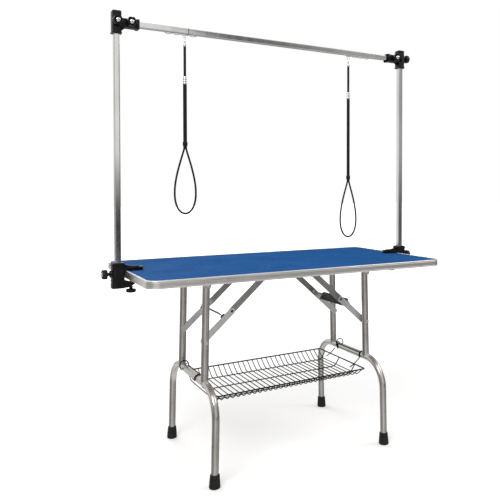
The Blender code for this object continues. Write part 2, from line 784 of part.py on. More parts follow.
def build_clamp(label, side):
    """A clamp on a short edge: post sleeve, upper jaw on the mat, lower jaw with its screw."""
    half = CLAMP_HALF_WIDTH
    edge = TABLE_LENGTH / 2 + GAP
    inner, outer = sorted((side * edge, side * CLAMP_OUTER))
    body = box((inner, -half, CLAMP_BOTTOM), (outer, half, CLAMP_TOP))
    clamp = place(f"{label}_clamp", body, look="black_plastic")
    floor = TABLE_HEIGHT + GAP
    # Jaw outlines in X and Z
    upper_jaw = [
        (edge + 0.004, floor),
        (JAW_TIP + 0.004, floor),
        (JAW_TIP, floor + 0.003),
        (JAW_TIP, floor + 0.008),
        (JAW_TIP + 0.004, floor + 0.011),
        (edge - 0.030, floor + 0.015),
        (edge + 0.004, floor + 0.020),
    ]
    lower_jaw = [
        (edge + 0.004, CLAMP_BOTTOM + 0.001),
        (edge - 0.010, CLAMP_BOTTOM + 0.001),
        (LOWER_JAW_TIP + 0.008, CLAMP_BOTTOM + 0.011),
        (LOWER_JAW_TIP, CLAMP_BOTTOM + 0.014),
        (LOWER_JAW_TIP, CLAMP_BOTTOM + 0.018),
        (edge - 0.018, CLAMP_BOTTOM + 0.0205),
        (edge - 0.001, CLAMP_BOTTOM + 0.025),
        (edge + 0.004, CLAMP_BOTTOM + 0.025),
    ]
    for outline, width in ((upper_jaw, UPPER_JAW_HALF), (lower_jaw, LOWER_JAW_HALF)):
        shape = slab([(side * x, z) for x, z in outline], -width, width, UPRIGHT)
        combine(clamp, shape, "UNION")
    bore = SOCKET_BORE
    centre = side * ARM_X
    post_bore = box(
        (centre - bore, -bore, CLAMP_BOTTOM - 0.01), (centre + bore, bore, CLAMP_TOP + 0.01)
    )
    combine(clamp, post_bore, "DIFFERENCE")
    screw = side * SCREW_X
    low = (screw, 0, CLAMP_BOTTOM - 0.02)
    high = (screw, 0, CLAMP_BOTTOM + 0.04)
    combine(clamp, rod(low, high, SCREW_RADIUS + GAP, PIN_SIDES), "DIFFERENCE")
    face = (side * CLAMP_OUTER, 0, CLAMP_KNOB_Z)
    spin = joint_frame(f"{label}_clamp_post_knob_spin", (0, 0, 0))
    hand_knob(f"{label}_clamp_post_knob", face, (side, 0, 0), spin, neck=SIDE_NECK)
    # The screw carries a pressure disc that stops just under the board.
    slide = joint_frame(f"{label}_clamp_screw_travel", (0, 0, 0))
    knob_top = CLAMP_BOTTOM + SCREW_RADIUS + 0.0005
    profile = [
        (0, knob_top),
        (SCREW_RADIUS, knob_top),
        (SCREW_RADIUS, PLATE_HIGH - 0.006),
        (DISC_RADIUS, PLATE_HIGH - 0.004),
        (DISC_RADIUS, PLATE_HIGH),
        (0, PLATE_HIGH),
    ]
    at_screw = Matrix.Translation((screw, 0, 0))
    place(f"{label}_clamp_screw", turned(profile, PIN_SIDES, at_screw), slide, "bracket_steel")
    spin = joint_frame(f"{label}_clamp_screw_spin", (0, 0, 0), slide)
    face = (screw, 0, knob_top)
    hand_knob(f"{label}_clamp_screw_knob", face, (0, 0, -1), spin, lobes=8)


# ---------------------------------------------------------------- nooses


def loop_shape(fork_z, bottom_z):
    """A hanging loop whose two strands start side by side inside the end of the cord."""
    steps = 22
    top = fork_z + 0.004
    path = []
    for i in range(steps + 1):
        turn = 2 * math.pi * i / steps
        apart = (LOOP_RADIUS + GAP) * math.cos(turn / 2)
        spread = LOOP_SPREAD * math.sin(turn) * math.sin(turn / 2) ** 1.3
        drop = (top - bottom_z) * (1 - math.cos(turn)) / 2
        path.append(Vector((apart + spread, 0, top - drop)))
    return sweep(path, circle(LOOP_RADIUS, 6), Y_AXIS)


def build_noose(label, x, cord_top, fork, loop_bottom):
    """A snap on the rail, a braided cord, its sliding stop and the loop below it."""
    wire_z = RAIL_CENTRE - RAIL_DIP
    frame = joint_frame(f"{label}_noose_swing", (x, 0, wire_z))
    ring_z = SNAP_WIRE + RAIL_WIRE + 2 * GAP - SNAP_RING
    ring = arc(Vector((0, 0, ring_z)), SNAP_RING, 0, 2 * math.pi, 16, Y_AXIS, Z_AXIS)[:-1]
    shape = sweep(ring, circle(SNAP_WIRE, 6), X_AXIS, closed=True)
    snap = place(f"{label}_snap_hook", shape, frame, "chrome")
    neck = ring_z - SNAP_RING
    cord_high = cord_top - wire_z
    body = [
        (0, neck + 0.0005),
        (0.0028, neck - 0.0005),
        (0.0036, neck - 0.006),
        (0.0030, cord_high + 0.005),
        (0.0052, cord_high + 0.003),
        (0.0052, cord_high + GAP),
        (0, cord_high + GAP),
    ]
    combine(snap, turned(body, 10), "UNION")
    fork_z = fork - wire_z
    bottom_z = loop_bottom - wire_z
    shape = rod((0, 0, cord_high), (0, 0, fork_z), CORD_RADIUS, 8)
    cord = place(f"{label}_noose_cord", shape, frame, "nylon_cord")
    combine(cord, loop_shape(fork_z, bottom_z), "UNION")
    slider = joint_frame(f"{label}_noose_slide", (0, 0, fork_z + 0.020), frame)
    bore = CORD_RADIUS + GAP
    stop = [
        (bore, -0.008),
        (0.0082, -0.008),
        (0.0092, -0.005),
        (0.0092, 0.005),
        (0.0082, 0.008),
        (bore, 0.008),
    ]
    shape = bmesh.new()
    rings = [
        [shape.verts.new((u, v, height)) for u, v in circle(radius, 12)]
        for radius, height in stop
    ]
    skin(shape, rings, True)
    place(f"{label}_noose_slider", shape, slider, "black_plastic")


def main():
    for leftover in list(bpy.data.objects):
        bpy.data.objects.remove(leftover)
    build_top()
    build_leg("left", -1, 0.090, -0.062)
    build_leg("right", 1, 0.088, -0.098)
    build_tray()
    build_gantry()
    for label, side in (("left", -1), ("right", 1)):
        build_clamp(label, side)
    dips = [RAIL_START + RAIL_PITCH * (i + 0.5) for i in range(RAIL_WAVES)]
    build_noose("left", -dips[1], 1.522, 1.146, 0.913)
    build_noose("right", dips[0], 1.520, 1.030, 0.800)


main()
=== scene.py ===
"""The looks of a folding grooming table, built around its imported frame.

Metres, +Z up, in the frame's own space. Places and sizes come from the CAD nodes' boxes, the joints
and the mounts; every piece rides on the body that carries it.
"""

import json
from functools import partial
from math import atan2, ceil, copysign, cos, hypot, pi, radians, sin, sqrt, tan

import bmesh
import bpy
from mathutils import Matrix, Vector


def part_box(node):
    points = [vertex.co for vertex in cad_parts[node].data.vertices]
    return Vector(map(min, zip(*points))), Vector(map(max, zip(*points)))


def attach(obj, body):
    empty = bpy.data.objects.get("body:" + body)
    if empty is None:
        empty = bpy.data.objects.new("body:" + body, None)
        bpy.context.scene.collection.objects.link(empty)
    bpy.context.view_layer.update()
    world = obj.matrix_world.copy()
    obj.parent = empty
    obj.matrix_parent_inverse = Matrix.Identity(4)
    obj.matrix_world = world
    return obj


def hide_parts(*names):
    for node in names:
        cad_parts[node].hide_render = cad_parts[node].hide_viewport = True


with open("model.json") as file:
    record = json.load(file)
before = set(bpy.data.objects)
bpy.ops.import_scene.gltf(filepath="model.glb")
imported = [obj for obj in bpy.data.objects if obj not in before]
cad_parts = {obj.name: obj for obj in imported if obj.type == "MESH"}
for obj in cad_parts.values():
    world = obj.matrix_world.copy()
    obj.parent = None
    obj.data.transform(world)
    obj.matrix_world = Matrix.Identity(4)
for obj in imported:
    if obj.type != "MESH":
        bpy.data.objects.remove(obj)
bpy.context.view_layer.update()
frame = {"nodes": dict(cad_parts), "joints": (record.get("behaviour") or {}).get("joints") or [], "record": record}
PIVOTS = {joint["name"]: Vector(joint["pos_m"]) for joint in frame["joints"] if "pos_m" in joint}
MOUNTS = {mount["name"]: Vector(mount["pos_m"]) for mount in frame["record"]["mounts"]}

X = Vector((1, 0, 0))
Y = Vector((0, 1, 0))
Z = Vector((0, 0, 1))
SIDES = (("left", -1), ("right", 1))
ENDS = (("front", -1), ("back", 1))
# An outline's second coordinate becomes height, and its thickness runs along Y.
UPRIGHT = Matrix(((1, 0, 0, 0), (0, 0, 1, 0), (0, 1, 0, 0), (0, 0, 0, 1)))

# Sizes the frame's boxes don't give
CLEARANCE = 0.0003  # between neighbouring pieces
CORNER_RADIUS = 0.042
TRIM_WALL = 0.002
TRIM_LIP = 0.008
SEAM_X = 0.416
SEAM_GAP = 0.0005
RIB_PITCH = 0.0032
RIB_HEIGHT = 0.0003
TUBE_WALL = 0.0013
POST_SIDES = 44
BEND_RADIUS = 0.1
LINK_WIDTH = 0.024
LINK_THICKNESS = 0.003
LINK_EDGE = 0.0006  # how far the links' edges are rounded
HANGER_WIRE = 0.002
RIM_WIRE = 0.0026
CROSS_WIRE = 0.0018
LONG_WIRE = 0.0021
LONG_WIRES_Y = (-0.104, 0.013, 0.128)
CROSS_WIRES = 29
TRAY_LEAN = radians(0.5)
TRAY_FLARE = 0.045
RAIL_WIRE = 0.0015
BAR_WALL = 0.0012
BAR_ROUNDING = 0.0028
LOOP_CORD = 0.0036
LOOP_SPREAD = 0.052
KNOB_HEIGHT = 0.024
GRIP_HEIGHT = 0.0216
SCREW_KNOB_NECK = 0.008
SLIDER_RISE = 0.02  # of the sliding stop above the fork

# The studio that metal mirrors: (share of the way round the horizon, brightness) for each height
AMBIENT = 0.62
WHITE_FLOOR = 0.85
CEILING_PANELS = ((0.0, 0.6), (0.2, 0.3), (0.62, 0.3), (0.7, 1.0), (0.88, 1.0))
HIGH_PANELS = (
    (0.0, 0.95), (0.06, 0.75), (0.13, 0.4), (0.19, 0.25), (0.27, 0.8), (0.33, 1.0),
    (0.42, 0.95), (0.47, 0.8), (0.53, 1.0), (0.588, 0.9), (0.6, 0.1), (0.617, 0.1),
    (0.64, 0.75), (0.68, 1.0), (0.75, 0.45), (0.82, 0.25), (0.88, 0.42), (0.905, 0.5),
    (0.92, 0.28), (0.935, 0.14), (0.9445, 0.22), (0.9475, 1.0), (0.975, 1.0),
)
HORIZON_PANELS = (
    (0.0, 0.25), (0.03, 0.5), (0.12, 0.5), (0.17, 0.22), (0.3, 0.2), (0.36, 0.85),
    (0.42, 0.95), (0.465, 0.3), (0.55, 0.55), (0.66, 0.5), (0.72, 0.2), (0.82, 0.12),
    (0.895, 0.12), (0.94, 0.06), (0.975, 0.06),
)
LOW_PANELS = (
    (0.0, 0.45), (0.03, 0.76), (0.12, 0.76), (0.17, 0.32), (0.3, 0.25), (0.41, 0.25),
    (0.44, 0.95), (0.48, 0.9), (0.52, 0.4), (0.6, 0.26), (0.66, 0.5), (0.72, 0.26),
    (0.82, 0.28), (0.88, 0.45), (0.94, 0.5), (0.975, 0.4),
)


def size(node):
    low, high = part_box(node)
    return high - low


def middle(node):
    low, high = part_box(node)
    return (low + high) / 2


def reach_of(node, axis=0):
    """How far from the frame's middle a node that lies on one side of it starts and ends."""
    low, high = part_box(node)
    return sorted((abs(low[axis]), abs(high[axis])))


def placed(name, data):
    """A new object in the scene that shows this mesh, light or camera."""
    made = bpy.data.objects.new(name, data)
    bpy.context.scene.collection.objects.link(made)
    return made


def feed(tree, node, inputs):
    """Sets each input to a value, or links it to an output socket."""
    for name, value in inputs.items():
        if isinstance(value, bpy.types.NodeSocket):
            tree.links.new(value, node.inputs[name])
        else:
            node.inputs[name].default_value = value


def add_node(tree, kind, inputs=None, **settings):
    made = tree.nodes.new("ShaderNode" + kind)
    for name, value in settings.items():
        setattr(made, name, value)
    feed(tree, made, inputs or {})
    return made


# --- materials


class Look:
    """A Principled material whose layers are textures in the object's own space."""

    def __init__(self, name, roughness, tint, polish=None, bumps=(), metallic=0.0, **inputs):
        """Each layer is a pattern, and then what the pattern's low and high values give."""
        self.material = bpy.data.materials.new(name)
        self.material.use_nodes = True
        self.tree = self.material.node_tree
        self.node = partial(add_node, self.tree)
        self.shader = self.tree.nodes["Principled BSDF"]
        self.set({"Roughness": roughness, "Metallic": metallic, **inputs})
        self.place = self.node("TexCoord").outputs["Object"]
        self.normal = None
        self.tint(*tint)
        if polish:
            self.polish(*polish)
        for layer in bumps:
            self.bump(*layer)

    def set(self, inputs):
        feed(self.tree, self.shader, inputs)

    def pattern(self, kind, scale, inputs):
        """A texture whose scale, one number or one per axis, is in features per metre."""
        scale = scale if isinstance(scale, tuple) else (scale, scale, scale)
        stretched = self.node("Mapping", {"Vector": self.place, "Scale": scale}).outputs[0]
        return self.node(kind, {"Vector": stretched, "Scale": 1.0, **inputs}).outputs[0]

    def between(self, value, low, high, to_low, to_high):
        names = ("Value", "From Min", "From Max", "To Min", "To Max")
        inputs = dict(zip(names, (value, low, high, to_low, to_high)))
        return self.node("MapRange", inputs).outputs[0]

    def tint(self, pattern, dark, light, low=0.3, high=0.7):
        """Base colour between two colours as the pattern goes from low to high."""
        ramp = self.node("ValToRGB", {"Fac": self.pattern(*pattern)})
        ends = ramp.color_ramp.elements
        ends[0].position, ends[1].position = low, high
        ends[0].color, ends[1].color = (*dark, 1), (*light, 1)
        self.set({"Base Color": ramp.outputs[0]})

    def polish(self, pattern, smooth, rough):
        self.set({"Roughness": self.between(self.pattern(*pattern), 0.3, 0.7, smooth, rough)})

    def bump(self, pattern, strength, distance):
        """Adds a layer of relief, distance metres deep at full strength."""
        inputs = {"Height": self.pattern(*pattern), "Strength": strength, "Distance": distance}
        if self.normal:
            inputs["Normal"] = self.normal
        self.normal = self.node("Bump", inputs).outputs[0]
        self.set({"Normal": self.normal})


def grain(scale, detail=4.0, roughness=0.55):
    return ("TexNoise", scale, {"Detail": detail, "Roughness": roughness})


def cells(scale):
    return ("TexVoronoi", scale, {})


def shine(level):
    return {"Specular IOR Level": level}


def satin_steel(name, dark, light, smooth, rough):
    """Drawn marks along the bar or tube, and a slightly blotchy polish."""
    tint = (grain((22, 22, 9), 5), dark, light)
    polish = (grain((90, 90, 18), 6, 0.65), smooth, rough)
    bumps = [(grain((900, 900, 60), 3), 0.1, 0.0002), (grain(160, 2), 0.05, 0.0004)]
    return Look(name, smooth, tint, polish, bumps, 1.0)


def mat_rubber():
    tint = (grain(7, 5), (0.009, 0.072, 0.235), (0.015, 0.098, 0.29))
    bumps = [(cells(900), 0.35, 0.0003), (grain(2200, 2), 0.2, 0.0001)]
    look = Look("blue_rubber", 0.58, tint, (grain((30, 400, 30)), 0.5, 0.66), bumps)
    # The ribs hide each other's shine from anyone who looks along the table.
    grazing = look.node("LayerWeight", {"Blend": 0.5}).outputs["Facing"]
    look.set(shine(look.between(grazing, 0.35, 0.8, 0.3, 0.0)))
    return look


LOOKS = {
    # Pressed wood chips under a thin seal
    "board": Look(
        "particle_board", 0.62,
        (cells((420, 170, 420)), (0.24, 0.21, 0.17), (0.42, 0.38, 0.32), 0.05, 0.75),
        (grain(90), 0.52, 0.75), [(cells((420, 170, 420)), 0.3, 0.0004)],
    ),
    "mat": mat_rubber(),
    # Extruded and wiped: fine lines that run along the edge at every side of the table
    "trim": Look(
        "extruded_aluminium", 0.34,
        (grain((5, 5, 260), 5), (0.66, 0.635, 0.61), (0.84, 0.815, 0.79)),
        (grain((14, 14, 500), 5, 0.6), 0.27, 0.46),
        [(grain((10, 10, 2600), 3), 0.16, 0.0002), (grain(45, 3), 0.06, 0.0015)], 1.0,
    ),
    "leg_steel": satin_steel("satin_leg_steel", (0.47, 0.445, 0.42), (0.64, 0.61, 0.58), 0.2, 0.32),
    "link_steel": satin_steel("link_steel", (0.3, 0.295, 0.29), (0.44, 0.435, 0.43), 0.3, 0.45),
    "lower_link": satin_steel("light_link_steel", (0.66, 0.655, 0.65), (0.84, 0.835, 0.825), 0.34, 0.5),
    "bracket_steel": Look(
        "zinc_plate", 0.42,
        (cells(260), (0.5, 0.5, 0.49), (0.66, 0.66, 0.64), 0.0, 0.8),
        (grain(120, 5), 0.3, 0.5), [(grain(700), 0.12, 0.0002)], 1.0,
    ),
    "foot_rubber": Look(
        "black_rubber", 0.62,
        (grain(70, 5), (0.004, 0.004, 0.004), (0.012, 0.012, 0.011)),
        (grain(240), 0.52, 0.74), [(grain(1600, 3), 0.22, 0.0002)], **shine(0.3),
    ),
    "wire": Look(
        "coated_wire", 0.38,
        (grain(120, 3), (0.002, 0.002, 0.002), (0.006, 0.006, 0.006)),
        None, [(grain(900, 2), 0.25, 0.0003)], **shine(0.1),
    ),
    "chrome": Look(
        "polished_chrome", 0.1,
        (grain((9, 9, 5)), (0.62, 0.605, 0.59), (0.74, 0.725, 0.71)),
        (grain((60, 60, 14), 6), 0.07, 0.17), [(grain((700, 700, 25), 3), 0.06, 0.0002)], 1.0,
    ),
    # Twisted filaments across each strand; the strands themselves are in the mesh
    "cord": Look(
        "braided_nylon", 0.72,
        (grain((1500, 1500, 500), 3), (0.002, 0.002, 0.0025), (0.01, 0.01, 0.011)),
        None, [(grain((2600, 2600, 900), 3), 0.5, 0.0003)], **shine(0.25), **{"Sheen Weight": 0.03},
    ),
    "tie_steel": Look(
        "painted_steel", 0.4,
        (grain(90, 5), (0.005, 0.005, 0.005), (0.014, 0.014, 0.014)),
        (grain(200), 0.3, 0.5), [(grain(1100, 3), 0.2, 0.0002)], **shine(0.4),
    ),
    # Moulded nylon: fine spark-eroded grain, a soft shine and slightly greyer rubbed places
    "black_plastic": Look(
        "moulded_black", 0.3,
        (grain(55, 5), (0.002, 0.002, 0.0022), (0.006, 0.006, 0.0064)),
        (grain(190), 0.26, 0.42), [(grain(2400, 2), 0.16, 0.00015), (grain(70, 2), 0.05, 0.0008)],
        **shine(0.22),
    ),
}


# --- shapes


def shift(x, y, z):
    return Matrix.Translation((x, y, z))


def turns(start, end, steps):
    """Angles from one to the other, both included."""
    return [start + (end - start) * i / steps for i in range(steps + 1)]


def circle(radius, sides):
    return [(radius * cos(t), radius * sin(t)) for t in turns(0, 2 * pi, sides)[:-1]]


def rounded_rectangle(half_u, half_v, radius, steps):
    """Points of a rectangle with round corners, counter-clockwise."""
    points = []
    for corner, (su, sv) in enumerate(((1, 1), (-1, 1), (-1, -1), (1, -1))):
        for turn in turns(pi / 2 * corner, pi / 2 * (corner + 1), steps):
            u = su * (half_u - radius) + radius * cos(turn)
            v = sv * (half_v - radius) + radius * sin(turn)
            points.append((u, v))
    return points


def mirrored(outline):
    """Half an outline, then the same points on the other side of the first axis, back to the start."""
    return outline + [(u, -v) for u, v in outline[::-1]]


def arc(centre, radius, start, end, steps, axis_u, axis_v):
    return [centre + (axis_u * cos(t) + axis_v * sin(t)) * radius for t in turns(start, end, steps)]


def eased(points, radius, steps=6):
    """The same line with each inner corner rounded off."""
    path = [points[0]]
    for before, corner, after in zip(points, points[1:], points[2:]):
        back, on = before - corner, after - corner
        reach = min(radius, back.length * 0.48, on.length * 0.48)
        start = corner + back.normalized() * reach
        end = corner + on.normalized() * reach
        for i in range(steps + 1):
            t = i / steps
            path.append(start * (1 - t) ** 2 + corner * (2 * t * (1 - t)) + end * t**2)
    path.append(points[-1])
    return path


def fine(path, step):
    """The same line with points at most step apart."""
    points = [path[0]]
    for start, end in zip(path, path[1:]):
        count = max(1, ceil((end - start).length / step))
        points += [start.lerp(end, (i + 1) / count) for i in range(count)]
    return points


def skin(bm, rings, closed):
    count = len(rings)
    for i in range(count if closed else count - 1):
        here, there = rings[i], rings[(i + 1) % count]
        for j in range(len(here)):
            k = (j + 1) % len(here)
            bm.faces.new((here[j], here[k], there[k], there[j]))


def capped_skin(bm, rings):
    """A closed solid: the skin between the rings, and a face across the first and the last."""
    skin(bm, rings, False)
    bm.faces.new(rings[0])
    bm.faces.new(rings[-1])


def section_rings(bm, path, section, up, closed):
    """A ring of vertices at each point. A section is (side, up) offsets, or a function of distance."""
    rings, side, distance = [], None, 0.0
    count = len(path)
    for i, point in enumerate(path):
        before = path[i - 1] if i or closed else point
        after = path[(i + 1) % count] if i < count - 1 or closed else point
        along = (after - before).normalized()
        side = along.cross(up) if side is None else side
        side = (side - along * side.dot(along)).normalized()
        normal = side.cross(along)
        if i:
            distance += (point - path[i - 1]).length
        offsets = section(distance) if callable(section) else section
        rings.append([bm.verts.new(point + side * u + normal * v) for u, v in offsets])
    return rings


def add_sweep(bm, path, section, up=Z, closed=False, bore=None):
    """A rod or, with a bore, a tube along the path."""
    outer = section_rings(bm, path, section, up, closed)
    if bore:
        inner = section_rings(bm, path, bore, up, closed)
        skin(bm, outer, closed)
        skin(bm, inner, closed)
        for end in (0, -1):
            skin(bm, [outer[end], inner[end]], False)
    elif closed:
        skin(bm, outer, closed)
    else:
        capped_skin(bm, outer)


def add_turned(bm, profile, sides=32, matrix=Matrix()):
    """A solid of revolution about Z from (radius, height) points, then moved by matrix."""
    rings = []
    for radius, height in profile:
        if radius:
            ring = [matrix @ Vector((u, v, height)) for u, v in circle(radius, sides)]
        else:
            ring = [matrix @ Vector((0, 0, height))]
        rings.append([bm.verts.new(point) for point in ring])
    for low, high in zip(rings, rings[1:]):
        for i in range(sides):
            k = (i + 1) % sides
            corners = (low[i % len(low)], low[k % len(low)], high[k % len(high)], high[i % len(high)])
            bm.faces.new(list(dict.fromkeys(corners)))


def add_slab(bm, outline, low, high, matrix=Matrix()):
    """The outline as a plate from one height to the other, then moved by matrix."""
    levels = ([matrix @ Vector((x, y, z)) for x, y in outline] for z in (low, high))
    capped_skin(bm, [[bm.verts.new(point) for point in level] for level in levels])


def add_box(bm, low, high):
    (x0, y0, z0), (x1, y1, z1) = low, high
    x0, x1 = sorted((x0, x1))
    add_slab(bm, [(x0, y0), (x1, y0), (x1, y1), (x0, y1)], z0, z1)


def add_dome(bm, radius, height, matrix, sides=24):
    """A rivet or screw head that stands on the plane Z = 0 of matrix."""
    profile = [(0, -height / 2), (radius, -height / 2)]
    profile += [(radius * cos(t), height * (0.15 + 0.85 * sin(t))) for t in turns(0, pi / 2, 6)]
    profile[-1] = (0, height)
    add_turned(bm, profile, sides, matrix)


def facing(point, direction):
    """A matrix that puts local Z along direction, with its origin at point."""
    return Matrix.Translation(point) @ direction.to_track_quat("Z", "Y").to_matrix().to_4x4()


def piece(name, bm, slot, body, node=None, bevel=0.0, look=None, moved=None):
    """Makes the object, gives it its finish and hangs it on its body, in place of the CAD's node."""
    if moved:
        bm.transform(moved)
    bmesh.ops.recalc_face_normals(bm, faces=bm.faces)
    mesh = bpy.data.meshes.new(name)
    bm.to_mesh(mesh)
    bm.free()
    mesh.materials.append(LOOKS[look or slot].material)
    mesh.shade_smooth()
    mesh.set_sharp_from_angle(angle=radians(38))
    made = placed(name, mesh)
    if bevel:
        soften(made, bevel)
    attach(made, body)
    if node:
        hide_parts(node)


def soften(made, width):
    """Rounds every hard edge, as moulding, rolling or deburring leaves it."""
    step = made.modifiers.new("soft_edges", "BEVEL")
    step.width = width
    step.segments = 3
    step.limit_method = "ANGLE"
    step.angle_limit = radians(32)
    step.harden_normals = True


# --- table top


def build_mat():
    """A rubber sheet with fine ribs along the table, flat where the trim's lip holds it down."""
    low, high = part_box("top_mat")
    half_x, half_y = high.x, high.y
    radius = CORNER_RADIUS - TRIM_WALL
    flat_z = high.z - RIB_HEIGHT
    ribbed = half_y - TRIM_LIP
    edge_steps = 10
    rows = [(-half_y + radius * 0.15 * i / edge_steps, 0.0) for i in range(edge_steps)]
    rows = [row for row in rows if row[0] < -ribbed]
    count = int(2 * ribbed / RIB_PITCH)
    pitch = 2 * ribbed / count
    for i in range(count):
        start = -ribbed + pitch * i
        rows += [(start, 0.0), (start + pitch * 0.22, 0.85), (start + pitch * 0.42, 1.0)]
        rows += [(start + pitch * 0.58, 1.0), (start + pitch * 0.78, 0.85)]
    rows.append((ribbed, 0.0))
    rows += [(-y, 0.0) for y, _ in rows[: edge_steps + 1][::-1] if y < -ribbed]
    bm = bmesh.new()
    rings = []
    for y, rise in rows:
        over = max(0.0, abs(y) - (half_y - radius))
        reach = half_x - radius + sqrt(max(0.0, radius**2 - over**2))
        top = flat_z + RIB_HEIGHT * rise
        corners = ((-reach, top), (-reach, low.z), (reach, low.z), (reach, top))
        rings.append([bm.verts.new((x, y, z)) for x, z in corners])
    capped_skin(bm, rings)
    piece("ribbed_mat", bm, "mat", "table", "top_mat")


def build_trim():
    """An extruded channel with rolled lips and two fine grooves, bent round the edge to one seam."""
    low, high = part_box("edge_trim")
    height = high.z - low.z
    lip = TRIM_LIP
    groove = [(0, 0.0045), (-0.0004, 0.005), (-0.0004, 0.0058), (0, 0.0063)]
    outer = [(-0.0028, 0), (-0.0017, 0.0002), (-0.0008, 0.0008), (-0.0002, 0.0017), (0, 0.0028)]
    outer += groove
    nose = [(0.001 - lip, 0), (0.0003 - lip, 0.0003), (-lip, 0.0008), (0.0004 - lip, 0.0015)]
    bottom = outer + [(u, height - v) for u, v in outer[::-1]]
    inner = [(u, height - v) for u, v in nose] + [(-TRIM_WALL, height - 0.0015)]
    inner += [(u, height - v) for u, v in inner[::-1]]
    corners = rounded_rectangle(high.x, high.y, CORNER_RADIUS, 18)
    loop = [Vector((x, y, low.z)) for x, y in corners]
    front_right = 3 * len(loop) // 4
    path = [Vector((SEAM_X + SEAM_GAP / 2, low.y, low.z))]
    path += loop[front_right:] + loop[:front_right]
    path.append(Vector((SEAM_X - SEAM_GAP / 2, low.y, low.z)))
    bm = bmesh.new()
    add_sweep(bm, fine(path, 0.08), bottom + inner)
    piece("edge_trim_extrusion", bm, "trim", "table", "edge_trim")
    build_trim_fixings(low, high)


def build_trim_fixings(low, high):
    """A backing strip behind the seam, and the rivets that hold the channel on the board."""
    bm = bmesh.new()
    strip = TRIM_WALL / 2
    near = (SEAM_X - 0.01, low.y + strip, low.z + strip)
    add_box(bm, near, (SEAM_X + 0.01, low.y + 2 * strip, high.z - strip))
    piece("trim_seam_backing", bm, "trim", "table", bevel=0.0002)
    bm = bmesh.new()
    hinge = abs(PIVOTS["left_leg_fold"].x)
    rivets = [(x, y, Y * y) for x in (-hinge, -0.283, 0.072, hinge) for y in (low.y, high.y)]
    rivets += [(x, y, X * x) for x in (low.x, high.x) for y in (-0.15, 0.15)]
    for x, y, out in rivets:
        point = Vector((x, y, (low.z + high.z) / 2))
        add_dome(bm, 0.0028, 0.0009, facing(point, out.normalized()))
    piece("trim_rivets", bm, "trim", "table")


def screw_head(bm, point, direction, radius=0.0042):
    """A pan head with a cross on it."""
    at = facing(point, direction)
    add_dome(bm, radius, radius * 0.45, at)
    for turn in (0, pi / 2):
        bar = mirrored([(radius * 0.55, 0.0004), (-radius * 0.55, 0.0004)])
        add_slab(bm, bar, radius * 0.3, radius * 0.47, at @ Matrix.Rotation(turn, 4, "Z"))


def build_brackets():
    """Screws through the plates under the table, and a bolt through each leg hinge."""
    for label, _ in SIDES:
        for part in ("hinge", "brace"):
            node = f"{label}_{part}_bracket"
            low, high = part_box(node)
            reach = (high.x - low.x) * 0.28
            plate = high.z - 0.0025
            bm = bmesh.new()
            for y in (low.y * 0.62, 0.0, high.y * 0.62):
                for x in (-reach, reach):
                    screw_head(bm, Vector(((low.x + high.x) / 2 + x, y, plate)), -Z)
            piece(f"{node}_screws", bm, "bracket_steel", "table")
        hinge = PIVOTS[f"{label}_leg_fold"]
        low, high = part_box(f"{label}_hinge_rod")
        radius = (high.z - low.z) / 2
        bm = bmesh.new()
        rod = radius * 0.57
        profile = [(0, low.y), (radius * 0.7, low.y), (radius, low.y + 0.001), (radius, low.y + 0.0032)]
        profile += [(rod, low.y + 0.0034), (rod, high.y - 0.0034), (radius, high.y - 0.0032)]
        profile += [(radius, high.y - 0.001), (radius * 0.7, high.y), (0, high.y)]
        along_y = shift(hinge.x, 0, hinge.z) @ Matrix.Rotation(-pi / 2, 4, "X")
        add_turned(bm, profile, 32, along_y)
        piece(f"{label}_hinge_bolt", bm, "bracket_steel", "table", f"{label}_hinge_rod")


# --- leg frames


def leg_space(label):
    """Local Z runs up the leg from its hinge, which is the origin."""
    hinge = PIVOTS[f"{label}_leg_fold"]
    sole = MOUNTS[f"{label}_front_sole"]
    lean = atan2(hinge.x - sole.x, hinge.z - sole.z)
    return Matrix.Translation(hinge) @ Matrix.Rotation(lean, 4, "Y")


def build_leg(label, side):
    """One bent cross tube with its two posts, and what is fixed to them."""
    body = f"{label}_leg"
    space = leg_space(label)
    hinge = PIVOTS[f"{label}_leg_fold"]
    sole = MOUNTS[f"{label}_front_sole"]
    length = hypot(hinge.x - sole.x, hinge.z - sole.z)
    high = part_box(f"{label}_foot_tube")[1]
    foot_y = abs(sole.y)
    foot_radius = high.y - foot_y
    drop = (hinge.z + foot_radius - high.z) * length / hinge.z
    post_radius = size(f"{label}_front_post").y / 2
    post_y = middle(f"{label}_back_post").y

    bend_y = foot_y - BEND_RADIUS
    bend_z = -drop - BEND_RADIUS
    tip = 0.012 - length
    path = [Vector((0, -foot_y, tip))]
    path += arc(Vector((0, -bend_y, bend_z)), BEND_RADIUS, pi, pi / 2, 20, Y, Z)
    path += arc(Vector((0, bend_y, bend_z)), BEND_RADIUS, pi / 2, 0, 20, Y, Z)
    path.append(Vector((0, foot_y, tip)))
    bm = bmesh.new()
    add_sweep(bm, path, circle(foot_radius, 40), X, bore=circle(foot_radius - TUBE_WALL, 40))
    piece(f"{label}_foot_bend", bm, "leg_steel", body, f"{label}_foot_tube", moved=space)

    top = post_radius - 0.001
    wall = post_radius - TUBE_WALL
    lip = 0.0006
    profile = [(post_radius, -drop), (post_radius, top - lip), (post_radius - lip, top)]
    profile += [(wall + lip, top), (wall, top - lip), (wall, -drop)]
    for end_name, end in ENDS:
        centre = end * post_y
        bm = bmesh.new()
        add_turned(bm, profile, POST_SIDES, shift(0, centre, 0))
        close_wall(bm, POST_SIDES)
        node = f"{label}_{end_name}_post"
        piece(f"{label}_{end_name}_upright", bm, "leg_steel", body, node, moved=space)
        build_weld(label, end_name, centre, post_radius, foot_radius, drop, space)
        build_foot_cap(label, end_name, end, space, length)
        build_brace_bolt(label, end_name, end, space)
    build_hanger(label, side, space, drop, foot_radius)


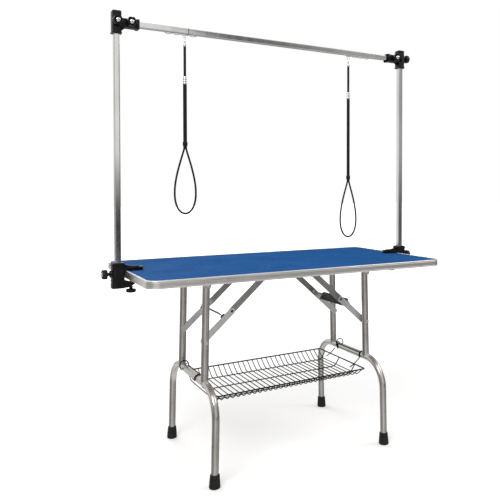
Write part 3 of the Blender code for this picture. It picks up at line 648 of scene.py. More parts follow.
def close_wall(bm, sides):
    """Closes a turned wall by joining its last ring to its first."""
    bm.verts.ensure_lookup_table()
    skin(bm, [bm.verts[-sides:], bm.verts[:sides]], False)


def build_weld(label, end_name, centre, post_radius, foot_radius, drop, space):
    """The bead where a post is coped over the cross tube, with the ripple of a hand weld."""
    path = []
    for across, along in circle(post_radius, 72):
        rise = sqrt(max(0.0, foot_radius**2 - across**2))
        path.append(Vector((across, centre + along, rise - drop)))

    def bead(distance):
        return circle(0.0019 + 0.0003 * sin(distance * 2 * pi / 0.0031), 10)

    bm = bmesh.new()
    add_sweep(bm, path, bead, Z, closed=True)
    piece(f"{label}_{end_name}_weld", bm, "leg_steel", f"{label}_leg", moved=space)


def build_foot_cap(label, end_name, end, space, length):
    """A rubber cap with raised rings, cut level with the floor although the leg leans."""
    node = f"{label}_{end_name}_foot_cap"
    low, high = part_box(node)
    radius = (high.y - low.y) / 2
    height = high.z - low.z
    # (share of the radius, height) up the outside, and then (share of the radius, share of the height)
    profile = [(0, 0.0012), (0.62, 0.0012), (0.66, 0), (0.9, 0), (0.96, 0.0008), (1, 0.0028)]
    profile += [(1, 0.0085), (0.965, 0.0095), (0.965, 0.0115)]
    for ring in range(3):
        rise, shrink = 0.0125 + ring * 0.0055, 0.955 - 0.02 * ring
        profile += [(shrink + 0.018, rise), (shrink + 0.018, rise + 0.0026)]
        profile += [(shrink, rise + 0.0034), (shrink, rise + 0.0046)]
    rim = [(0.86, 0.9), (0.84, 0.97), (0.81, 1), (0.72, 1), (0.7, 0.96), (0.68, 0.5), (0, 0.5)]
    profile += [(u, height * v) for u, v in rim]
    profile = [(radius * u, v) for u, v in profile]
    lean = atan2(space[0][2], space[2][2])
    level = Matrix(((1, 0, 0, 0), (0, 1, 0, 0), (tan(lean), 0, 1, 0), (0, 0, 0, 1)))
    bm = bmesh.new()
    add_turned(bm, profile, 48, shift(0, end * abs(middle(node).y), -length) @ level)
    piece(f"{label}_{end_name}_ribbed_foot", bm, "foot_rubber", f"{label}_leg", node, moved=space)


def build_brace_bolt(label, end_name, end, space):
    """A low round head outside the post, and the bolt's shank reaching in to the link."""
    node = f"{label}_{end_name}_brace_bolt"
    low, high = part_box(node)
    near, far = reach_of(node, 1)
    local = space.inverted() @ middle(node)
    radius = (high.z - low.z) / 2
    seat = far - 0.0042
    at = facing(Vector((local.x, 0, local.z)), Y * end)
    profile = [(0, near), (0.004, near), (0.004, seat - 0.0001), (radius, seat - 0.0001)]
    profile += [(radius, seat + 0.001), (radius * 0.9, seat + 0.002), (radius * 0.62, far - 0.0008)]
    profile += [(radius * 0.3, far), (0, far)]
    bm = bmesh.new()
    add_turned(bm, profile, 32, at)
    piece(f"{label}_{end_name}_pivot_bolt", bm, "leg_steel", f"{label}_leg", node, moved=space)


def build_hanger(label, side, space, drop, foot_radius):
    """A sprung wire on the cross tube: it hooks over at both ends, and arches over at its back end."""
    node = f"{label}_tray_hanger"
    low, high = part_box(node)
    back, front = high.y - HANGER_WIRE, low.y + HANGER_WIRE
    if side > 0:
        # The two wires lie side by side when both leg frames are folded.
        back -= 0.01
    reach = foot_radius + CLEARANCE + HANGER_WIRE
    centre = Vector((0, 0, -drop))
    inward = X * -side
    section = circle(HANGER_WIRE, 12)
    lie = radians(48)
    over = radians(205)
    under = radians(-38)

    def round_tube(y, start, end, steps, rise=0.0):
        """Points round the tube from its inner side, standing off it where the wire arches."""
        points = []
        for i, turn in enumerate(turns(start, end, steps)):
            stand_off = reach + rise * sin(pi * i / steps) ** 2
            ray = inward * cos(turn) + Z * sin(turn)
            points.append(centre + Y * y + ray * stand_off)
        return points

    arch = round_tube(back, radians(10), over, 36, 0.014)
    along = round_tube(back - 0.01, lie, lie, 1)[:1]
    hook = round_tube(front, lie, over, 24)
    bm = bmesh.new()
    add_sweep(bm, eased(arch[::-1] + along + hook, 0.006, 5), section, Y)
    for y in (back - 0.008, front):
        tail = round_tube(y, under, lie, 14)
        add_sweep(bm, [tail[0] - Z * 0.004] + tail, section, Y)
    on_tube = centre + Y * (back - 0.004) + (inward * 0.5 + Z) * (reach * 0.86)
    eye = arc(on_tube, 0.0055, -0.6, 4.2, 20, inward, Z)
    add_sweep(bm, eye, circle(HANGER_WIRE * 0.8, 10), Y)
    piece(f"{label}_hanger_wire", bm, "wire", f"{label}_leg", node, moved=space)


# --- braces


def link_outline(length):
    """A bar with round ends that hangs down from its upper hole, which is the origin."""
    half = LINK_WIDTH / 2
    ends = ((0, turns(0, pi, 18)), (-length, turns(pi, 2 * pi, 18)))
    return [(half * cos(t), centre + half * sin(t)) for centre, bend in ends for t in bend]


def build_braces(label, side):
    """Flat upper and lower links at both ends, joined at the knee by a riveted stud."""
    top = PIVOTS[f"{label}_upper_brace_fold"]
    knee = PIVOTS[f"{label}_knee_fold"]
    foot = middle(f"{label}_front_brace_bolt")
    lower = hypot(knee.x - foot.x, knee.z - foot.z)
    upper = hypot(top.x - knee.x, top.z - knee.z)
    turn = Matrix.Rotation(atan2(top.x - knee.x, top.z - knee.z), 4, "Y")
    at_top = shift(top.x, 0, top.z) @ turn
    at_knee = shift(knee.x, 0, knee.z) @ turn
    for end_name, end in ENDS:
        build_upper_link(label, end_name, end, upper, at_top)
        build_lower_link(label, end_name, end, lower, at_knee)
    build_tie(label, side, at_knee)


def build_upper_link(label, end_name, end, length, at_top):
    """A bar with a pressed bead on its inner face, and the knee's rivet over a washer."""
    node = f"{label}_{end_name}_upper_link"
    body = f"{label}_upper_brace"
    half = LINK_THICKNESS / 2
    y = middle(f"{label}_{end_name}_lower_link").y - end * (LINK_THICKNESS + CLEARANCE)
    face = y - end * half
    bm = bmesh.new()
    add_slab(bm, link_outline(length), y - half, y + half, UPRIGHT)
    piece(f"{node}_bar", bm, "link_steel", body, node, LINK_EDGE, moved=at_top)
    bm = bmesh.new()
    bead = [(u * 0.3, v * 0.62 - length * 0.22) for u, v in link_outline(length)]
    near, far = sorted((face + end * 0.0002, face - end * 0.0008))
    add_slab(bm, bead, near, far, UPRIGHT)
    piece(f"{node}_bead", bm, "link_steel", body, None, LINK_EDGE, moved=at_top)
    bm = bmesh.new()
    at_stud = facing(Vector((0, face, -length)), Y * -end)
    add_dome(bm, 0.0062, 0.0019, at_stud)
    add_turned(bm, [(0, -0.0004), (0.0085, -0.0004), (0.0085, 0.0006), (0, 0.0006)], 28, at_stud)
    piece(f"{label}_{end_name}_knee_rivet", bm, "bracket_steel", body, moved=at_top)


def build_lower_link(label, end_name, end, length, at_knee):
    """A lighter bar; the knee's rivet is closed flush on it, because it swings past the post."""
    node = f"{label}_{end_name}_lower_link"
    body = f"{label}_lower_brace"
    half = LINK_THICKNESS / 2
    y = middle(node).y
    bm = bmesh.new()
    head = [(0, -0.0006), (0.005, -0.0006), (0.005, 0.0001), (0, 0.0001)]
    add_turned(bm, head, 28, facing(Vector((0, y + end * half, 0)), Y * end))
    piece(f"{label}_{end_name}_knee_bolt", bm, "tie_steel", body, moved=at_knee)
    bm = bmesh.new()
    add_slab(bm, link_outline(length), y - half, y + half, UPRIGHT)
    piece(f"{node}_bar", bm, "link_steel", body, node, LINK_EDGE, "lower_link", at_knee)


def build_tie(label, side, at_knee):
    """A strap across the lower links: end tabs lie on the links' edges, and the rest stands up."""
    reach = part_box(f"{label}_tie_bar")[1].y
    seat = LINK_WIDTH / 2 + CLEARANCE
    thickness = 0.0026
    tab_y = 0.01
    centre = -0.036  # along the link, from the knee
    bm = bmesh.new()
    for end in (-1, 1):
        near, far = sorted((end * (reach - tab_y), end * reach))
        low = (side * seat, near, centre - 0.009)
        add_box(bm, low, (side * (seat + thickness), far, centre + 0.009))
    plate = [(seat, -reach + tab_y / 2), (seat + 0.014, -reach + 0.016)]
    if side > 0:
        # The right-hand strap is wider, and reaches in between the links as well.
        plate = [(-0.01, -reach + 0.018), (seat, -reach + 0.018)] + plate
    plate = [(side * u, y) for u, y in mirrored(plate)]
    add_slab(bm, plate, centre - thickness / 2, centre + thickness / 2)
    body = f"{label}_lower_brace"
    piece(f"{label}_tie_strap", bm, "tie_steel", body, f"{label}_tie_bar", 0.0005, moved=at_knee)
    bm = bmesh.new()
    for end in (-1, 1):
        for height in (-0.0055, 0.0055):
            point = Vector((side * (seat + thickness), end * (reach - tab_y / 2), centre + height))
            add_dome(bm, 0.0022, 0.001, facing(point, X * side), 16)
    piece(f"{label}_tie_rivets", bm, "bracket_steel", body, moved=at_knee)


# --- wire tray


def build_tray():
    """Rim, cross wires from rim to rim, long wires under them and arms that reach to the hangers."""
    low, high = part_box("tray_basket")
    centre = (low.x + high.x) / 2
    end = (high.x - low.x) / 2 - RIM_WIRE
    half = high.y - RIM_WIRE
    rim_z = high.z - RIM_WIRE
    floor_z = low.z + 2 * LONG_WIRE
    # The tray hangs a little low at its left end.
    lean = shift(centre, 0, rim_z) @ Matrix.Rotation(-TRAY_LEAN, 4, "Y")
    lean = lean @ shift(-centre, 0, -rim_z)
    rim = [Vector((centre + x, y, rim_z)) for x, y in rounded_rectangle(end, half, 0.009, 8)]
    bm = bmesh.new()
    add_sweep(bm, rim, circle(RIM_WIRE, 14), Z, closed=True)
    piece("tray_rim_wire", bm, "wire", "tray", "tray_basket", moved=lean)

    first, last = centre - end + 0.01, centre + end - 0.01
    half_profile = [(rim_z + 0.0012, half + 0.0008), (floor_z + 0.0016, half - TRAY_FLARE + 0.006)]
    half_profile.append((floor_z, half - TRAY_FLARE - 0.008))
    bm = bmesh.new()
    for i in range(CROSS_WIRES):
        x = first + (last - first) * i / (CROSS_WIRES - 1)
        points = [Vector((x, -y, z)) for z, y in mirrored(half_profile)]
        add_sweep(bm, eased(points, 0.012), circle(CROSS_WIRE, 8), X)
    piece("tray_cross_wires", bm, "wire", "tray", moved=lean)

    under = floor_z - CROSS_WIRE - LONG_WIRE * 0.7
    bm = bmesh.new()
    for y in LONG_WIRES_Y:
        outline = mirrored([(rim_z + 0.001, end), (under, end - 0.022)])
        points = [Vector((centre - x, y, z)) for z, x in outline]
        add_sweep(bm, eased(points, 0.016, 8), circle(LONG_WIRE, 10), Y)
    piece("tray_long_wires", bm, "wire", "tray", moved=lean)
    build_tray_arms(centre, end, rim_z)


def build_tray_arms(centre, end, rim_z):
    """Short arms from the end rims up to the hangers on the cross tubes."""
    bm = bmesh.new()
    for label, side in SIDES:
        low_hook, high_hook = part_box(f"{label}_tray_hanger")
        outer = side * (reach_of(f"{label}_tray_hanger")[0] - 0.001)
        tip_z = low_hook.z - 0.006
        for y in (low_hook.y + HANGER_WIRE, high_hook.y - HANGER_WIRE):
            start = Vector((centre + side * (end - 0.018), y, rim_z - 0.008))
            points = [start, Vector((centre + side * (end + 0.001), y, rim_z + 0.0024))]
            points += [Vector((outer, y, tip_z)), Vector((outer - side * 0.001, y, tip_z + 0.004))]
            add_sweep(bm, eased(points, 0.008), circle(HANGER_WIRE, 10), Y)
    piece("tray_end_arms", bm, "wire", "tray")


# --- overhead frame


def square_section(half, radius):
    return rounded_rectangle(half, half, radius, 6)


def add_square_tube(bm, start, end, half, up):
    bore = square_section(half - BAR_WALL, BAR_ROUNDING - BAR_WALL)
    add_sweep(bm, fine([start, end], 0.1), square_section(half, BAR_ROUNDING), up, bore=bore)


def build_overhead():
    """Two posts and a bar of square chromed tube, with corner sockets and a band at the bar's joint."""
    half = size("left_arm_post").y / 2
    for label, side in SIDES:
        low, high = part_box(f"{label}_arm_post")
        x = side * (abs(low.x) + abs(high.x)) / 2
        bm = bmesh.new()
        add_square_tube(bm, Vector((x, 0, low.z)), Vector((x, 0, high.z)), half, Y)
        piece(f"{label}_post_tube", bm, "chrome", "gantry", f"{label}_arm_post")
        bm = bmesh.new()
        add_slab(bm, square_section(half - 0.0004, 0.0024), low.z - 0.003, low.z - 0.0002)
        add_slab(bm, square_section(half - 0.0016, 0.0012), low.z - 0.001, low.z + 0.01)
        bmesh.ops.translate(bm, verts=bm.verts, vec=(x, 0, 0))
        piece(f"{label}_post_plug", bm, "black_plastic", "gantry", bevel=0.0005)
        build_socket(label, side, x, half)
    low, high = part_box("overhead_bar")
    bar_z = high.z - half
    bm = bmesh.new()
    add_square_tube(bm, Vector((low.x, 0, bar_z)), Vector((high.x, 0, bar_z)), half, Z)
    piece("overhead_tube", bm, "chrome", "gantry", "overhead_bar")
    build_rails(bar_z - half, low.z)
    joint_x = PIVOTS["left_noose_swing"].x + 0.012
    band = [Vector((joint_x - 0.0012, 0, bar_z)), Vector((joint_x + 0.0012, 0, bar_z))]
    ring = square_section(half + 0.0003, 0.003)
    bm = bmesh.new()
    add_sweep(bm, band, ring, bore=square_section(half - 0.0004, 0.0026))
    piece("bar_joint_band", bm, "black_plastic", "gantry")


def build_rails(under, lowest):
    """A wavy wire under each end of the bar, spot-welded at its crests."""
    waves = 4
    pitch = 0.03
    dip = under - lowest - 2 * RAIL_WIRE
    for label, side in SIDES:
        first_dip = abs(PIVOTS[f"{label}_noose_swing"].x)
        start = first_dip - pitch * (1.5 if label == "left" else 0.5)
        steps = 14
        path = []
        for i in range(waves * steps + 1):
            fall = dip * sin(pi * (i % steps) / steps) ** 0.8
            x = side * (start + pitch * i / steps)
            path.append(Vector((x, 0, under - RAIL_WIRE * 0.4 - fall)))
        bm = bmesh.new()
        add_sweep(bm, path, circle(RAIL_WIRE, 12), Y)
        for i in range(waves + 1):
            crest = Vector((side * (start + pitch * i), 0, under))
            add_dome(bm, 0.003, 0.0013, facing(crest, -Z), 16)
        piece(f"{label}_hook_rail", bm, "chrome", "gantry")


def build_socket(label, side, post, tube):
    """Two square sleeves at right angles, with a boss under each knob and a lip at each mouth."""
    node = f"{label}_corner_socket"
    low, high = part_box(node)
    bar_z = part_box("overhead_bar")[1].z - tube
    reach, outer = reach_of(node)
    half = outer - abs(post)
    lip = high.y - half
    bm = bmesh.new()
    # The sleeve round the post, its cap and its rim: (how much wider, lowest, highest)
    rings = [(0, low.z + 0.001, high.z - 0.002), (-0.0012, high.z - 0.004, high.z)]
    rings.append((0.0012, low.z, low.z + 0.006))
    for grow, bottom, top in rings:
        ring = rounded_rectangle(half + grow, half + grow, 0.004, 6)
        add_slab(bm, [(u + post, v) for u, v in ring], bottom, top)
    across = Matrix(((0, 0, 1, 0), (1, 0, 0, 0), (0, 1, 0, 0), (0, 0, 0, 1)))
    at_bar = shift(0, 0, bar_z) @ across
    for grow, inner, outer in ((0, reach, abs(post)), (lip, reach, reach + 0.01)):
        near, far = sorted((side * inner, side * outer))
        add_slab(bm, rounded_rectangle(half + grow, half + grow, 0.004, 6), near, far, at_bar)
    # A web in the inner corner, under the bar's sleeve
    corner_x, corner_z = abs(post) - half + 0.001, bar_z - half + 0.001
    web = [(corner_x, corner_z), (corner_x - 0.017, corner_z), (corner_x, corner_z - 0.015)]
    add_slab(bm, [(side * u, v) for u, v in web], -0.0035, 0.0035, UPRIGHT)
    for knob in (f"{label}_post_knob", f"{label}_bar_knob"):
        point, out, _, _ = knob_seat(knob)
        boss = [(0, -0.002), (0.0125, -0.002), (0.0118, 0.004), (0.0105, 0.0052), (0, 0.0052)]
        add_turned(bm, boss, 36, facing(point, out))
    piece(f"{label}_corner_moulding", bm, "black_plastic", "gantry", node, 0.0007)


def knob_seat(node):
    """Where a knob stands: (face point, outward direction, height, radius)."""
    centre, spans = middle(node), size(node)
    joint = next(j for j in frame["joints"] if j["child"] == node)
    axis = max(range(3), key=lambda i: abs(joint["axis"][i]))
    # Knobs on the ends stand outwards, and all others to the front or downwards.
    out = (X * copysign(1, centre.x), -Y, -Z)[axis]
    height = spans[axis]
    radius = max(spans[i] for i in range(3) if i != axis) / 2
    return centre - out * (height / 2), out, height, radius


def build_knob(node, lobes, neck=0.0):
    """A lobed cup-shaped grip on a neck, with a chromed dome nut in the cup."""
    point, out, height, radius = knob_seat(node)
    neck += height - KNOB_HEIGHT
    sides = lobes * 12
    # (share of the radius, height over the neck, how far the lobes show)
    rings = [(0.34, 0.0026, 0.0), (0.6, 0.0034, 0.2), (0.88, 0.0044, 0.8), (0.98, 0.0062, 1.0)]
    rings += [(1.0, 0.009, 1.0), (1.0, 0.0158, 1.0), (0.97, 0.0188, 1.0), (0.9, 0.0208, 0.8)]
    rings += [(0.8, GRIP_HEIGHT, 0.4), (0.73, 0.0212, 0.1), (0.68, 0.0196, 0.0), (0.62, 0.016, 0.0)]
    rings.append((0.4, 0.015, 0.0))
    # A low knob's grip is flattened until it fits over its neck.
    squeeze = (KNOB_HEIGHT - neck) / KNOB_HEIGHT if neck + GRIP_HEIGHT > height else 1.0
    at = facing(point, out)
    bm = bmesh.new()
    loops = [[bm.verts.new(at @ Vector((u, v, 0.0004))) for u, v in circle(radius * 0.34, sides)]]
    for share, rise, ripple in rings:
        loop = []
        for turn in turns(0, 2 * pi, sides)[:-1]:
            wave = (0.5 + 0.5 * cos(lobes * turn)) ** 0.8
            reach = radius * share * (1 - 0.13 * ripple * (1 - wave))
            place = Vector((reach * cos(turn), reach * sin(turn), neck + rise * squeeze))
            loop.append(bm.verts.new(at @ place))
        loops.append(loop)
    capped_skin(bm, loops)
    piece(f"{node}_grip", bm, "black_plastic", node, node)
    nut = radius * 0.56
    seat = neck + 0.0145 * squeeze
    dome = height - seat - 0.0012
    profile = [(0, seat), (nut, seat)]
    profile += [(nut * cos(t), seat + 0.0012 + dome * sin(t)) for t in turns(0, pi / 2, 8)]
    profile[-1] = (0, height)
    bm = bmesh.new()
    add_turned(bm, profile, 36, at)
    piece(f"{node}_dome_nut", bm, "black_plastic", node, look="chrome")


# --- clamps


def tapered_jaw(tip, root, half_tip, half_root, side):
    """A jaw seen from above: round at the tip and slightly wider at the root."""
    bend = half_tip * 0.55
    outline = [(root, -half_root), (root, half_root)]
    outline += [(tip + bend * (1 - cos(t)), half_tip * sin(t)) for t in turns(pi / 2, -pi / 2, 10)]
    return [(side * x, y) for x, y in outline]


def build_clamp(label, side):
    """One moulding: the post's sleeve, an upper jaw on the mat and a lower jaw for the screw."""
    node = f"{label}_clamp"
    low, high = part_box(node)
    tip, outer = reach_of(node)
    half = high.y
    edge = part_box("edge_trim")[1].x + CLEARANCE
    table_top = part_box("edge_trim")[1].z + CLEARANCE
    screw = abs(middle(f"{label}_clamp_screw").x)
    bottom, top = low.z, high.z
    centre = side * (edge + outer) / 2
    reach = (outer - edge) / 2
    bm = bmesh.new()
    # The sleeve round the post, its collars and its grooves: (how much wider, lowest, highest)
    sleeves = [(-0.0012, bottom + 0.02, top - 0.002), (-0.0024, top - 0.004, top)]
    sleeves += [(0, top - 0.011, top - 0.0035), (0, bottom + 0.022, bottom + 0.0285)]
    sleeves += [(0, bottom, bottom + 0.017), (-0.0018, bottom + 0.015, bottom + 0.024)]
    for grow, lowest, highest in sleeves:
        outline = rounded_rectangle(reach + grow, half + grow, 0.0085, 5)
        add_slab(bm, [(u + centre, v) for u, v in outline], lowest, highest)
    jaw = tapered_jaw(tip, edge + 0.004, 0.0165, 0.0185, side)
    add_slab(bm, jaw, table_top, table_top + 0.0115)
    rib = tapered_jaw(tip + 0.012, edge + 0.004, 0.006, 0.008, side)
    add_slab(bm, rib, table_top + 0.01, table_top + 0.0145)
    gusset = [(edge + 0.003, table_top + 0.02), (edge + 0.003, table_top + 0.008)]
    gusset += [(edge - 0.028, table_top + 0.011), (edge - 0.026, table_top + 0.0145)]
    add_slab(bm, [(side * x, z) for x, z in gusset], -0.0055, 0.0055, UPRIGHT)
    # The lower jaw rises towards its tip, where a round boss takes the screw.
    lower = [(edge + 0.004, 0.001), (edge - 0.01, 0.001), (screw - 0.006, 0.0105)]
    lower += [(screw - 0.012, 0.0135), (screw - 0.0145, 0.0175), (edge - 0.018, 0.0205)]
    lower += [(edge - 0.001, 0.025), (edge + 0.004, 0.025)]
    add_slab(bm, [(side * x, bottom + rise) for x, rise in lower], -0.016, 0.016, UPRIGHT)
    boss = [(0, 0.0062), (0.0078, 0.0062), (0.0088, 0.0072), (0.0105, 0.016), (0.0095, 0.019)]
    boss.append((0, 0.019))
    add_turned(bm, boss, 36, shift(side * screw, 0, bottom))
    point, out, _, _ = knob_seat(f"{label}_clamp_post_knob")
    seat = [(0, -0.003), (0.0135, -0.003), (0.0125, 0.0034), (0.0112, 0.005), (0, 0.005)]
    add_turned(bm, seat, 36, facing(point, out))
    piece(f"{label}_clamp_moulding", bm, "black_plastic", "table", node, 0.0008)

    bm = bmesh.new()
    mat_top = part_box("top_mat")[1].z
    pad = tapered_jaw(tip + 0.002, edge - TRIM_LIP - 0.001, 0.015, 0.016, side)
    add_slab(bm, pad, mat_top - 0.0003, table_top - 0.0002)
    piece(f"{label}_jaw_pad", bm, "foot_rubber", "table", bevel=0.0003)
    build_screw(label)


def build_screw(label):
    """The clamp's screw: a rolled thread under a pressure disc."""
    node = f"{label}_clamp_screw"
    low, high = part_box(node)
    centre = (low + high) / 2
    disc = (high.y - low.y) / 2
    root, crest, pitch = 0.0034, 0.004, 0.00125
    sides, rows = 24, 90
    top = high.z - 0.006
    bm = bmesh.new()
    loops = []
    for row in range(rows + 1):
        z = low.z + (top - low.z) * row / rows
        loop = []
        for i in range(sides):
            phase = (z / pitch - i / sides) % 1
            radius = root + (crest - root) * abs(2 * phase - 1)
            turn = 2 * pi * i / sides
            x = centre.x + radius * cos(turn)
            loop.append(bm.verts.new((x, radius * sin(turn), z)))
        loops.append(loop)
    capped_skin(bm, loops)
    profile = [(0, -0.0075), (0.0052, -0.0075), (0.006, -0.0055), (disc * 0.92, -0.004)]
    profile += [(disc, -0.0032), (disc, -0.0008), (disc * 0.93, 0), (0, 0)]
    add_turned(bm, profile, 40, shift(centre.x, 0, high.z))
    piece(f"{label}_threaded_screw", bm, "bracket_steel", node, node)


# --- nooses


def braid(radius, sides=24):
    """A section whose surface rises and falls as round strands cross."""

    def section(distance):
        wind = 2 * pi * distance / 0.013
        points = []
        for turn in turns(0, 2 * pi, sides)[:-1]:
            crossing = max(abs(cos(3 * turn + wind)), abs(cos(3 * turn - wind)))
            reach = radius * (0.86 + 0.14 * crossing)
            points.append((reach * cos(turn), reach * sin(turn)))
        return points

    return section


def build_noose(label):
    """A braided cord with a loop, a crimped ferrule, a swivelling snap and a sliding stop."""
    body = f"{label}_noose"
    low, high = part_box(f"{label}_noose_cord")
    slider = middle(f"{label}_noose_slider")
    fork = slider.z - SLIDER_RISE
    x = PIVOTS[f"{label}_noose_swing"].x
    cord = high.y
    ferrule_high = high.z - 0.112
    ferrule_low = ferrule_high - 0.028
    bm = bmesh.new()
    single = [Vector((x, 0, high.z)), Vector((x, 0, ferrule_high - 0.004))]
    add_sweep(bm, fine(single, 0.0011), braid(cord), Y)
    # Below the ferrule the cord is a doubled strand that opens into the loop.
    apart = LOOP_CORD * 0.97
    bottom = low.z + LOOP_CORD
    loop = []
    for turn in turns(0, 2 * pi, 420):
        spread = LOOP_SPREAD * sin(turn) * sin(turn / 2) ** 1.3
        fall = (fork + 0.004 - bottom) * (1 - cos(turn)) / 2
        loop.append(Vector((x + apart * cos(turn / 2) + spread, 0, fork + 0.004 - fall)))
    strands = [Vector((x + apart, 0, ferrule_low + 0.006))] + loop
    strands.append(Vector((x - apart, 0, ferrule_low + 0.006)))
    add_sweep(bm, fine(strands, 0.0012), braid(LOOP_CORD, 18), Y)
    piece(f"{label}_braided_noose", bm, "cord", body, f"{label}_noose_cord")

    bm = bmesh.new()
    widen = shift(x, 0, ferrule_low) @ Matrix.Diagonal((1.18, 1, 1, 1))
    long = ferrule_high - ferrule_low
    profile = [(0, 0), (0.0056, 0), (0.0062, 0.001)]
    for ring in (0.25, 0.5, 0.75):
        profile += [(0.0062, long * ring - 0.0014), (0.0057, long * ring), (0.0062, long * ring + 0.0014)]
    profile += [(0.0062, long - 0.001), (0.0056, long), (0, long)]
    add_turned(bm, profile, 40, widen)
    piece(f"{label}_cord_ferrule", bm, "chrome", body)
    build_snap(label, body, x, high.z)
    build_stop(label, x)


def build_stop(label, x):
    """An oval plastic stop that slides on the doubled cord, with a button on its front."""
    node = f"{label}_noose_slider"
    low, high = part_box(node)
    height = high.z - low.z
    radius = high.y
    stop = [(0, 0), (0.86, 0), (0.97, 0.12), (1, 0.24), (0.94, 0.5), (1, 0.76), (0.97, 0.88)]
    profile = [(radius * u, height * v) for u, v in stop + [(0.86, 1), (0, 1)]]
    oval = shift(x, 0, low.z) @ Matrix.Diagonal((1, 0.78, 1, 1))
    bm = bmesh.new()
    add_turned(bm, profile, 44, oval)
    point = Vector((x, -radius * 0.7, low.z + height / 2))
    add_dome(bm, 0.0036, 0.0016, facing(point, -Y))
    piece(f"{label}_cord_stop", bm, "black_plastic", node, node)


def build_snap(label, body, x, cord_top):
    """A swivelling snap: hook and sprung gate over the rail, waist, swivel and cord cup."""
    node = f"{label}_snap_hook"
    radius = size(node).y / 2 - 0.0012
    centre = Vector((x, 0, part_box(node)[1].z - radius - 0.0012))
    neck = centre.z - radius
    bm = bmesh.new()
    hook = arc(centre, radius, radians(-95), radians(205), 40, Y, Z)
    thick = circle(0.00125, 12)
    add_sweep(bm, hook, thick, X)
    gate = arc(centre, radius * 0.96, radians(200), radians(268), 12, Y, Z)
    add_sweep(bm, gate, circle(0.001, 10), X)
    thumb = centre + (Y * cos(radians(228)) + Z * sin(radians(228))) * radius
    add_dome(bm, 0.0017, 0.0026, facing(thumb, (thumb - centre).normalized()), 14)
    fall = neck - cord_top
    # Waist, swivel and cup: (radius, share of the way down to the cord)
    stem = [(0.0034, 0.28), (0.0024, 0.33), (0.002, 0.4), (0.0034, 0.44), (0.0038, 0.5)]
    stem += [(0.0034, 0.56), (0.0024, 0.62), (0.003, 0.72), (0.0052, 0.82), (0.0056, 0.9)]
    profile = [(0, 0.0008), (0.0026, 0.0004), (0.0034, -0.0012)]
    profile += [(r, -fall * share) for r, share in stem]
    profile += [(0.0056, -fall - 0.0035), (0.005, -fall - 0.0045), (0, -fall - 0.0045)]
    add_turned(bm, profile, 32, shift(x, 0, neck))
    piece(f"{label}_swivel_snap", bm, "chrome", body, node)


# --- stage


def pale_floor():
    """Matt and pale, with a little glow, and fading to the white backdrop a few metres out."""
    tint = (grain(3, 3), (0.86, 0.86, 0.86), (0.89, 0.89, 0.89))
    look = Look("pale_floor", 0.95, tint, **shine(0.0), **{"Emission Color": (1, 1, 1, 1)})
    distance = look.node("VectorMath", {0: look.place}, operation="LENGTH").outputs["Value"]
    faded = look.between(distance, 1.0, 4.0, 0.22, 1.0)
    look.set({"Emission Strength": faded})
    return look.material


def build_stage():
    bm = bmesh.new()
    reach = 30.0
    corners = [(-reach, -reach), (reach, -reach), (reach, reach), (-reach, reach)]
    bm.faces.new([bm.verts.new((x, y, -0.0008)) for x, y in corners])
    mesh = bpy.data.meshes.new("floor")
    bm.to_mesh(mesh)
    bm.free()
    floor = placed("floor", mesh)
    mesh.materials.append(pale_floor())
    floor.visible_glossy = False


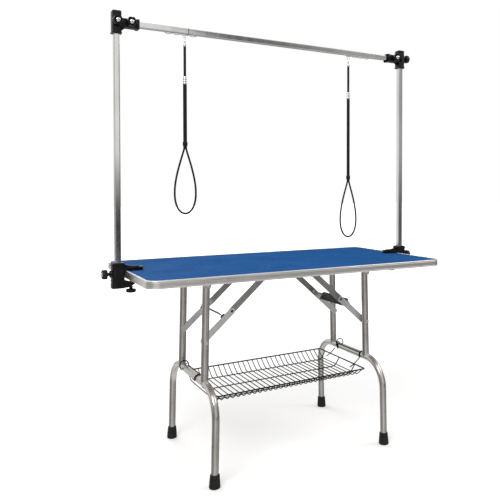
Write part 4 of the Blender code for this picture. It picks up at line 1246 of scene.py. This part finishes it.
def build_world():
    """White to the camera, an even glow on matt surfaces, and panels and dark gaps for metal to mirror."""
    world = bpy.data.worlds.new("studio")
    bpy.context.scene.world = world
    world.use_nodes = True
    # Sampled only along the rays that a surface sends, so that each kind of ray sees its own light
    world.cycles.sampling_method = "NONE"
    tree = world.node_tree
    tree.nodes.clear()
    node = partial(add_node, tree)

    def grey(level):
        return (level, level, level, 1)

    def ramp(value, stops):
        made = node("ValToRGB", {"Fac": value})
        made.color_ramp.interpolation = "EASE"
        elements = made.color_ramp.elements
        while len(elements) < len(stops):
            elements.new(0.5)
        for element, (position, level) in zip(elements, stops):
            element.position = position
            element.color = grey(level)
        return made.outputs[0]

    def blend(share, first, second):
        return node("Mix", {0: share, 6: first, 7: second}, data_type="RGBA").outputs[2]

    parts = node("SeparateXYZ", {"Vector": node("TexCoord").outputs["Generated"]})
    turn = node("Math", {0: parts.outputs["X"], 1: parts.outputs["Y"]}, operation="ARCTAN2").outputs[0]
    # Round the horizon: 0.5 looks along +Y, 0.25 along -X, 0.75 along +X, and 0 and 1 along -Y.
    around = node("MapRange", {"Value": turn, "From Min": -pi, "From Max": pi}).outputs[0]

    def above(start, full):
        """0 below one height of the direction and 1 above the other."""
        inputs = {"Value": parts.outputs["Z"], "From Min": start, "From Max": full}
        return node("MapRange", inputs).outputs[0]

    room = blend(above(-0.6, -0.42), grey(WHITE_FLOOR), ramp(around, LOW_PANELS))
    room = blend(above(-0.175, -0.135), room, ramp(around, HORIZON_PANELS))
    room = blend(above(-0.035, 0.06), room, ramp(around, HIGH_PANELS))
    room = blend(above(0.45, 0.6), room, ramp(around, CEILING_PANELS))
    rays = node("LightPath").outputs
    seen = blend(rays["Is Glossy Ray"], grey(AMBIENT), room)
    seen = blend(rays["Is Camera Ray"], seen, grey(1))
    shown = node("Background", {"Color": seen, "Strength": 1.0})
    tree.links.new(shown.outputs[0], node("OutputWorld").inputs["Surface"])


def area_light(name, location, target, width, power):
    data = bpy.data.lights.new(name, "AREA")
    data.shape = "SQUARE"
    data.size = width
    data.energy = power
    made = placed(name, data)
    made.location = location
    made.rotation_euler = (Vector(target) - Vector(location)).to_track_quat("-Z", "Y").to_euler()


def build_camera():
    data = bpy.data.cameras.new("camera")
    data.lens = 43.68
    data.shift_x = -0.1238
    data.shift_y = -0.0986
    camera = placed("camera", data)
    camera.location = (-1.078, -2.1464, 1.0072)
    camera.rotation_euler = (radians(90 - 1.24), 0, -radians(30.035))
    bpy.context.scene.camera = camera
    # Plain display colours, so that a white backdrop is white and the blue stays saturated
    bpy.context.scene.view_settings.view_transform = "Standard"


def finish_cad_nodes():
    """Gives every node of the frame its material and slightly rounded edges."""
    for subpart in frame["record"]["subparts"]:
        made = frame["nodes"][subpart["node"]]
        made.data.materials.clear()
        made.data.materials.append(LOOKS[subpart["material_slot"]].material)
        weld = made.modifiers.new("weld", "WELD")
        weld.merge_threshold = 0.00002
        soften(made, 0.0003)


def main():
    finish_cad_nodes()
    build_mat()
    build_trim()
    build_brackets()
    for label, side in SIDES:
        build_leg(label, side)
        build_braces(label, side)
    build_tray()
    build_overhead()
    for label, side in SIDES:
        build_clamp(label, side)
        build_noose(label)
        for knob in ("post_knob", "bar_knob", "clamp_post_knob"):
            build_knob(f"{label}_{knob}", 6)
        build_knob(f"{label}_clamp_screw_knob", 8, SCREW_KNOB_NECK)
    build_stage()
    build_world()
    area_light("key", (-2.2, -2.0, 3.4), (0, 0, 0.8), 1.6, 70)
    area_light("fill", (2.6, -1.2, 3.0), (0, 0, 0.9), 1.6, 25)
    area_light("rim", (-0.5, 2.6, 3.2), (0, 0, 0.9), 1.6, 35)
    build_camera()


main()
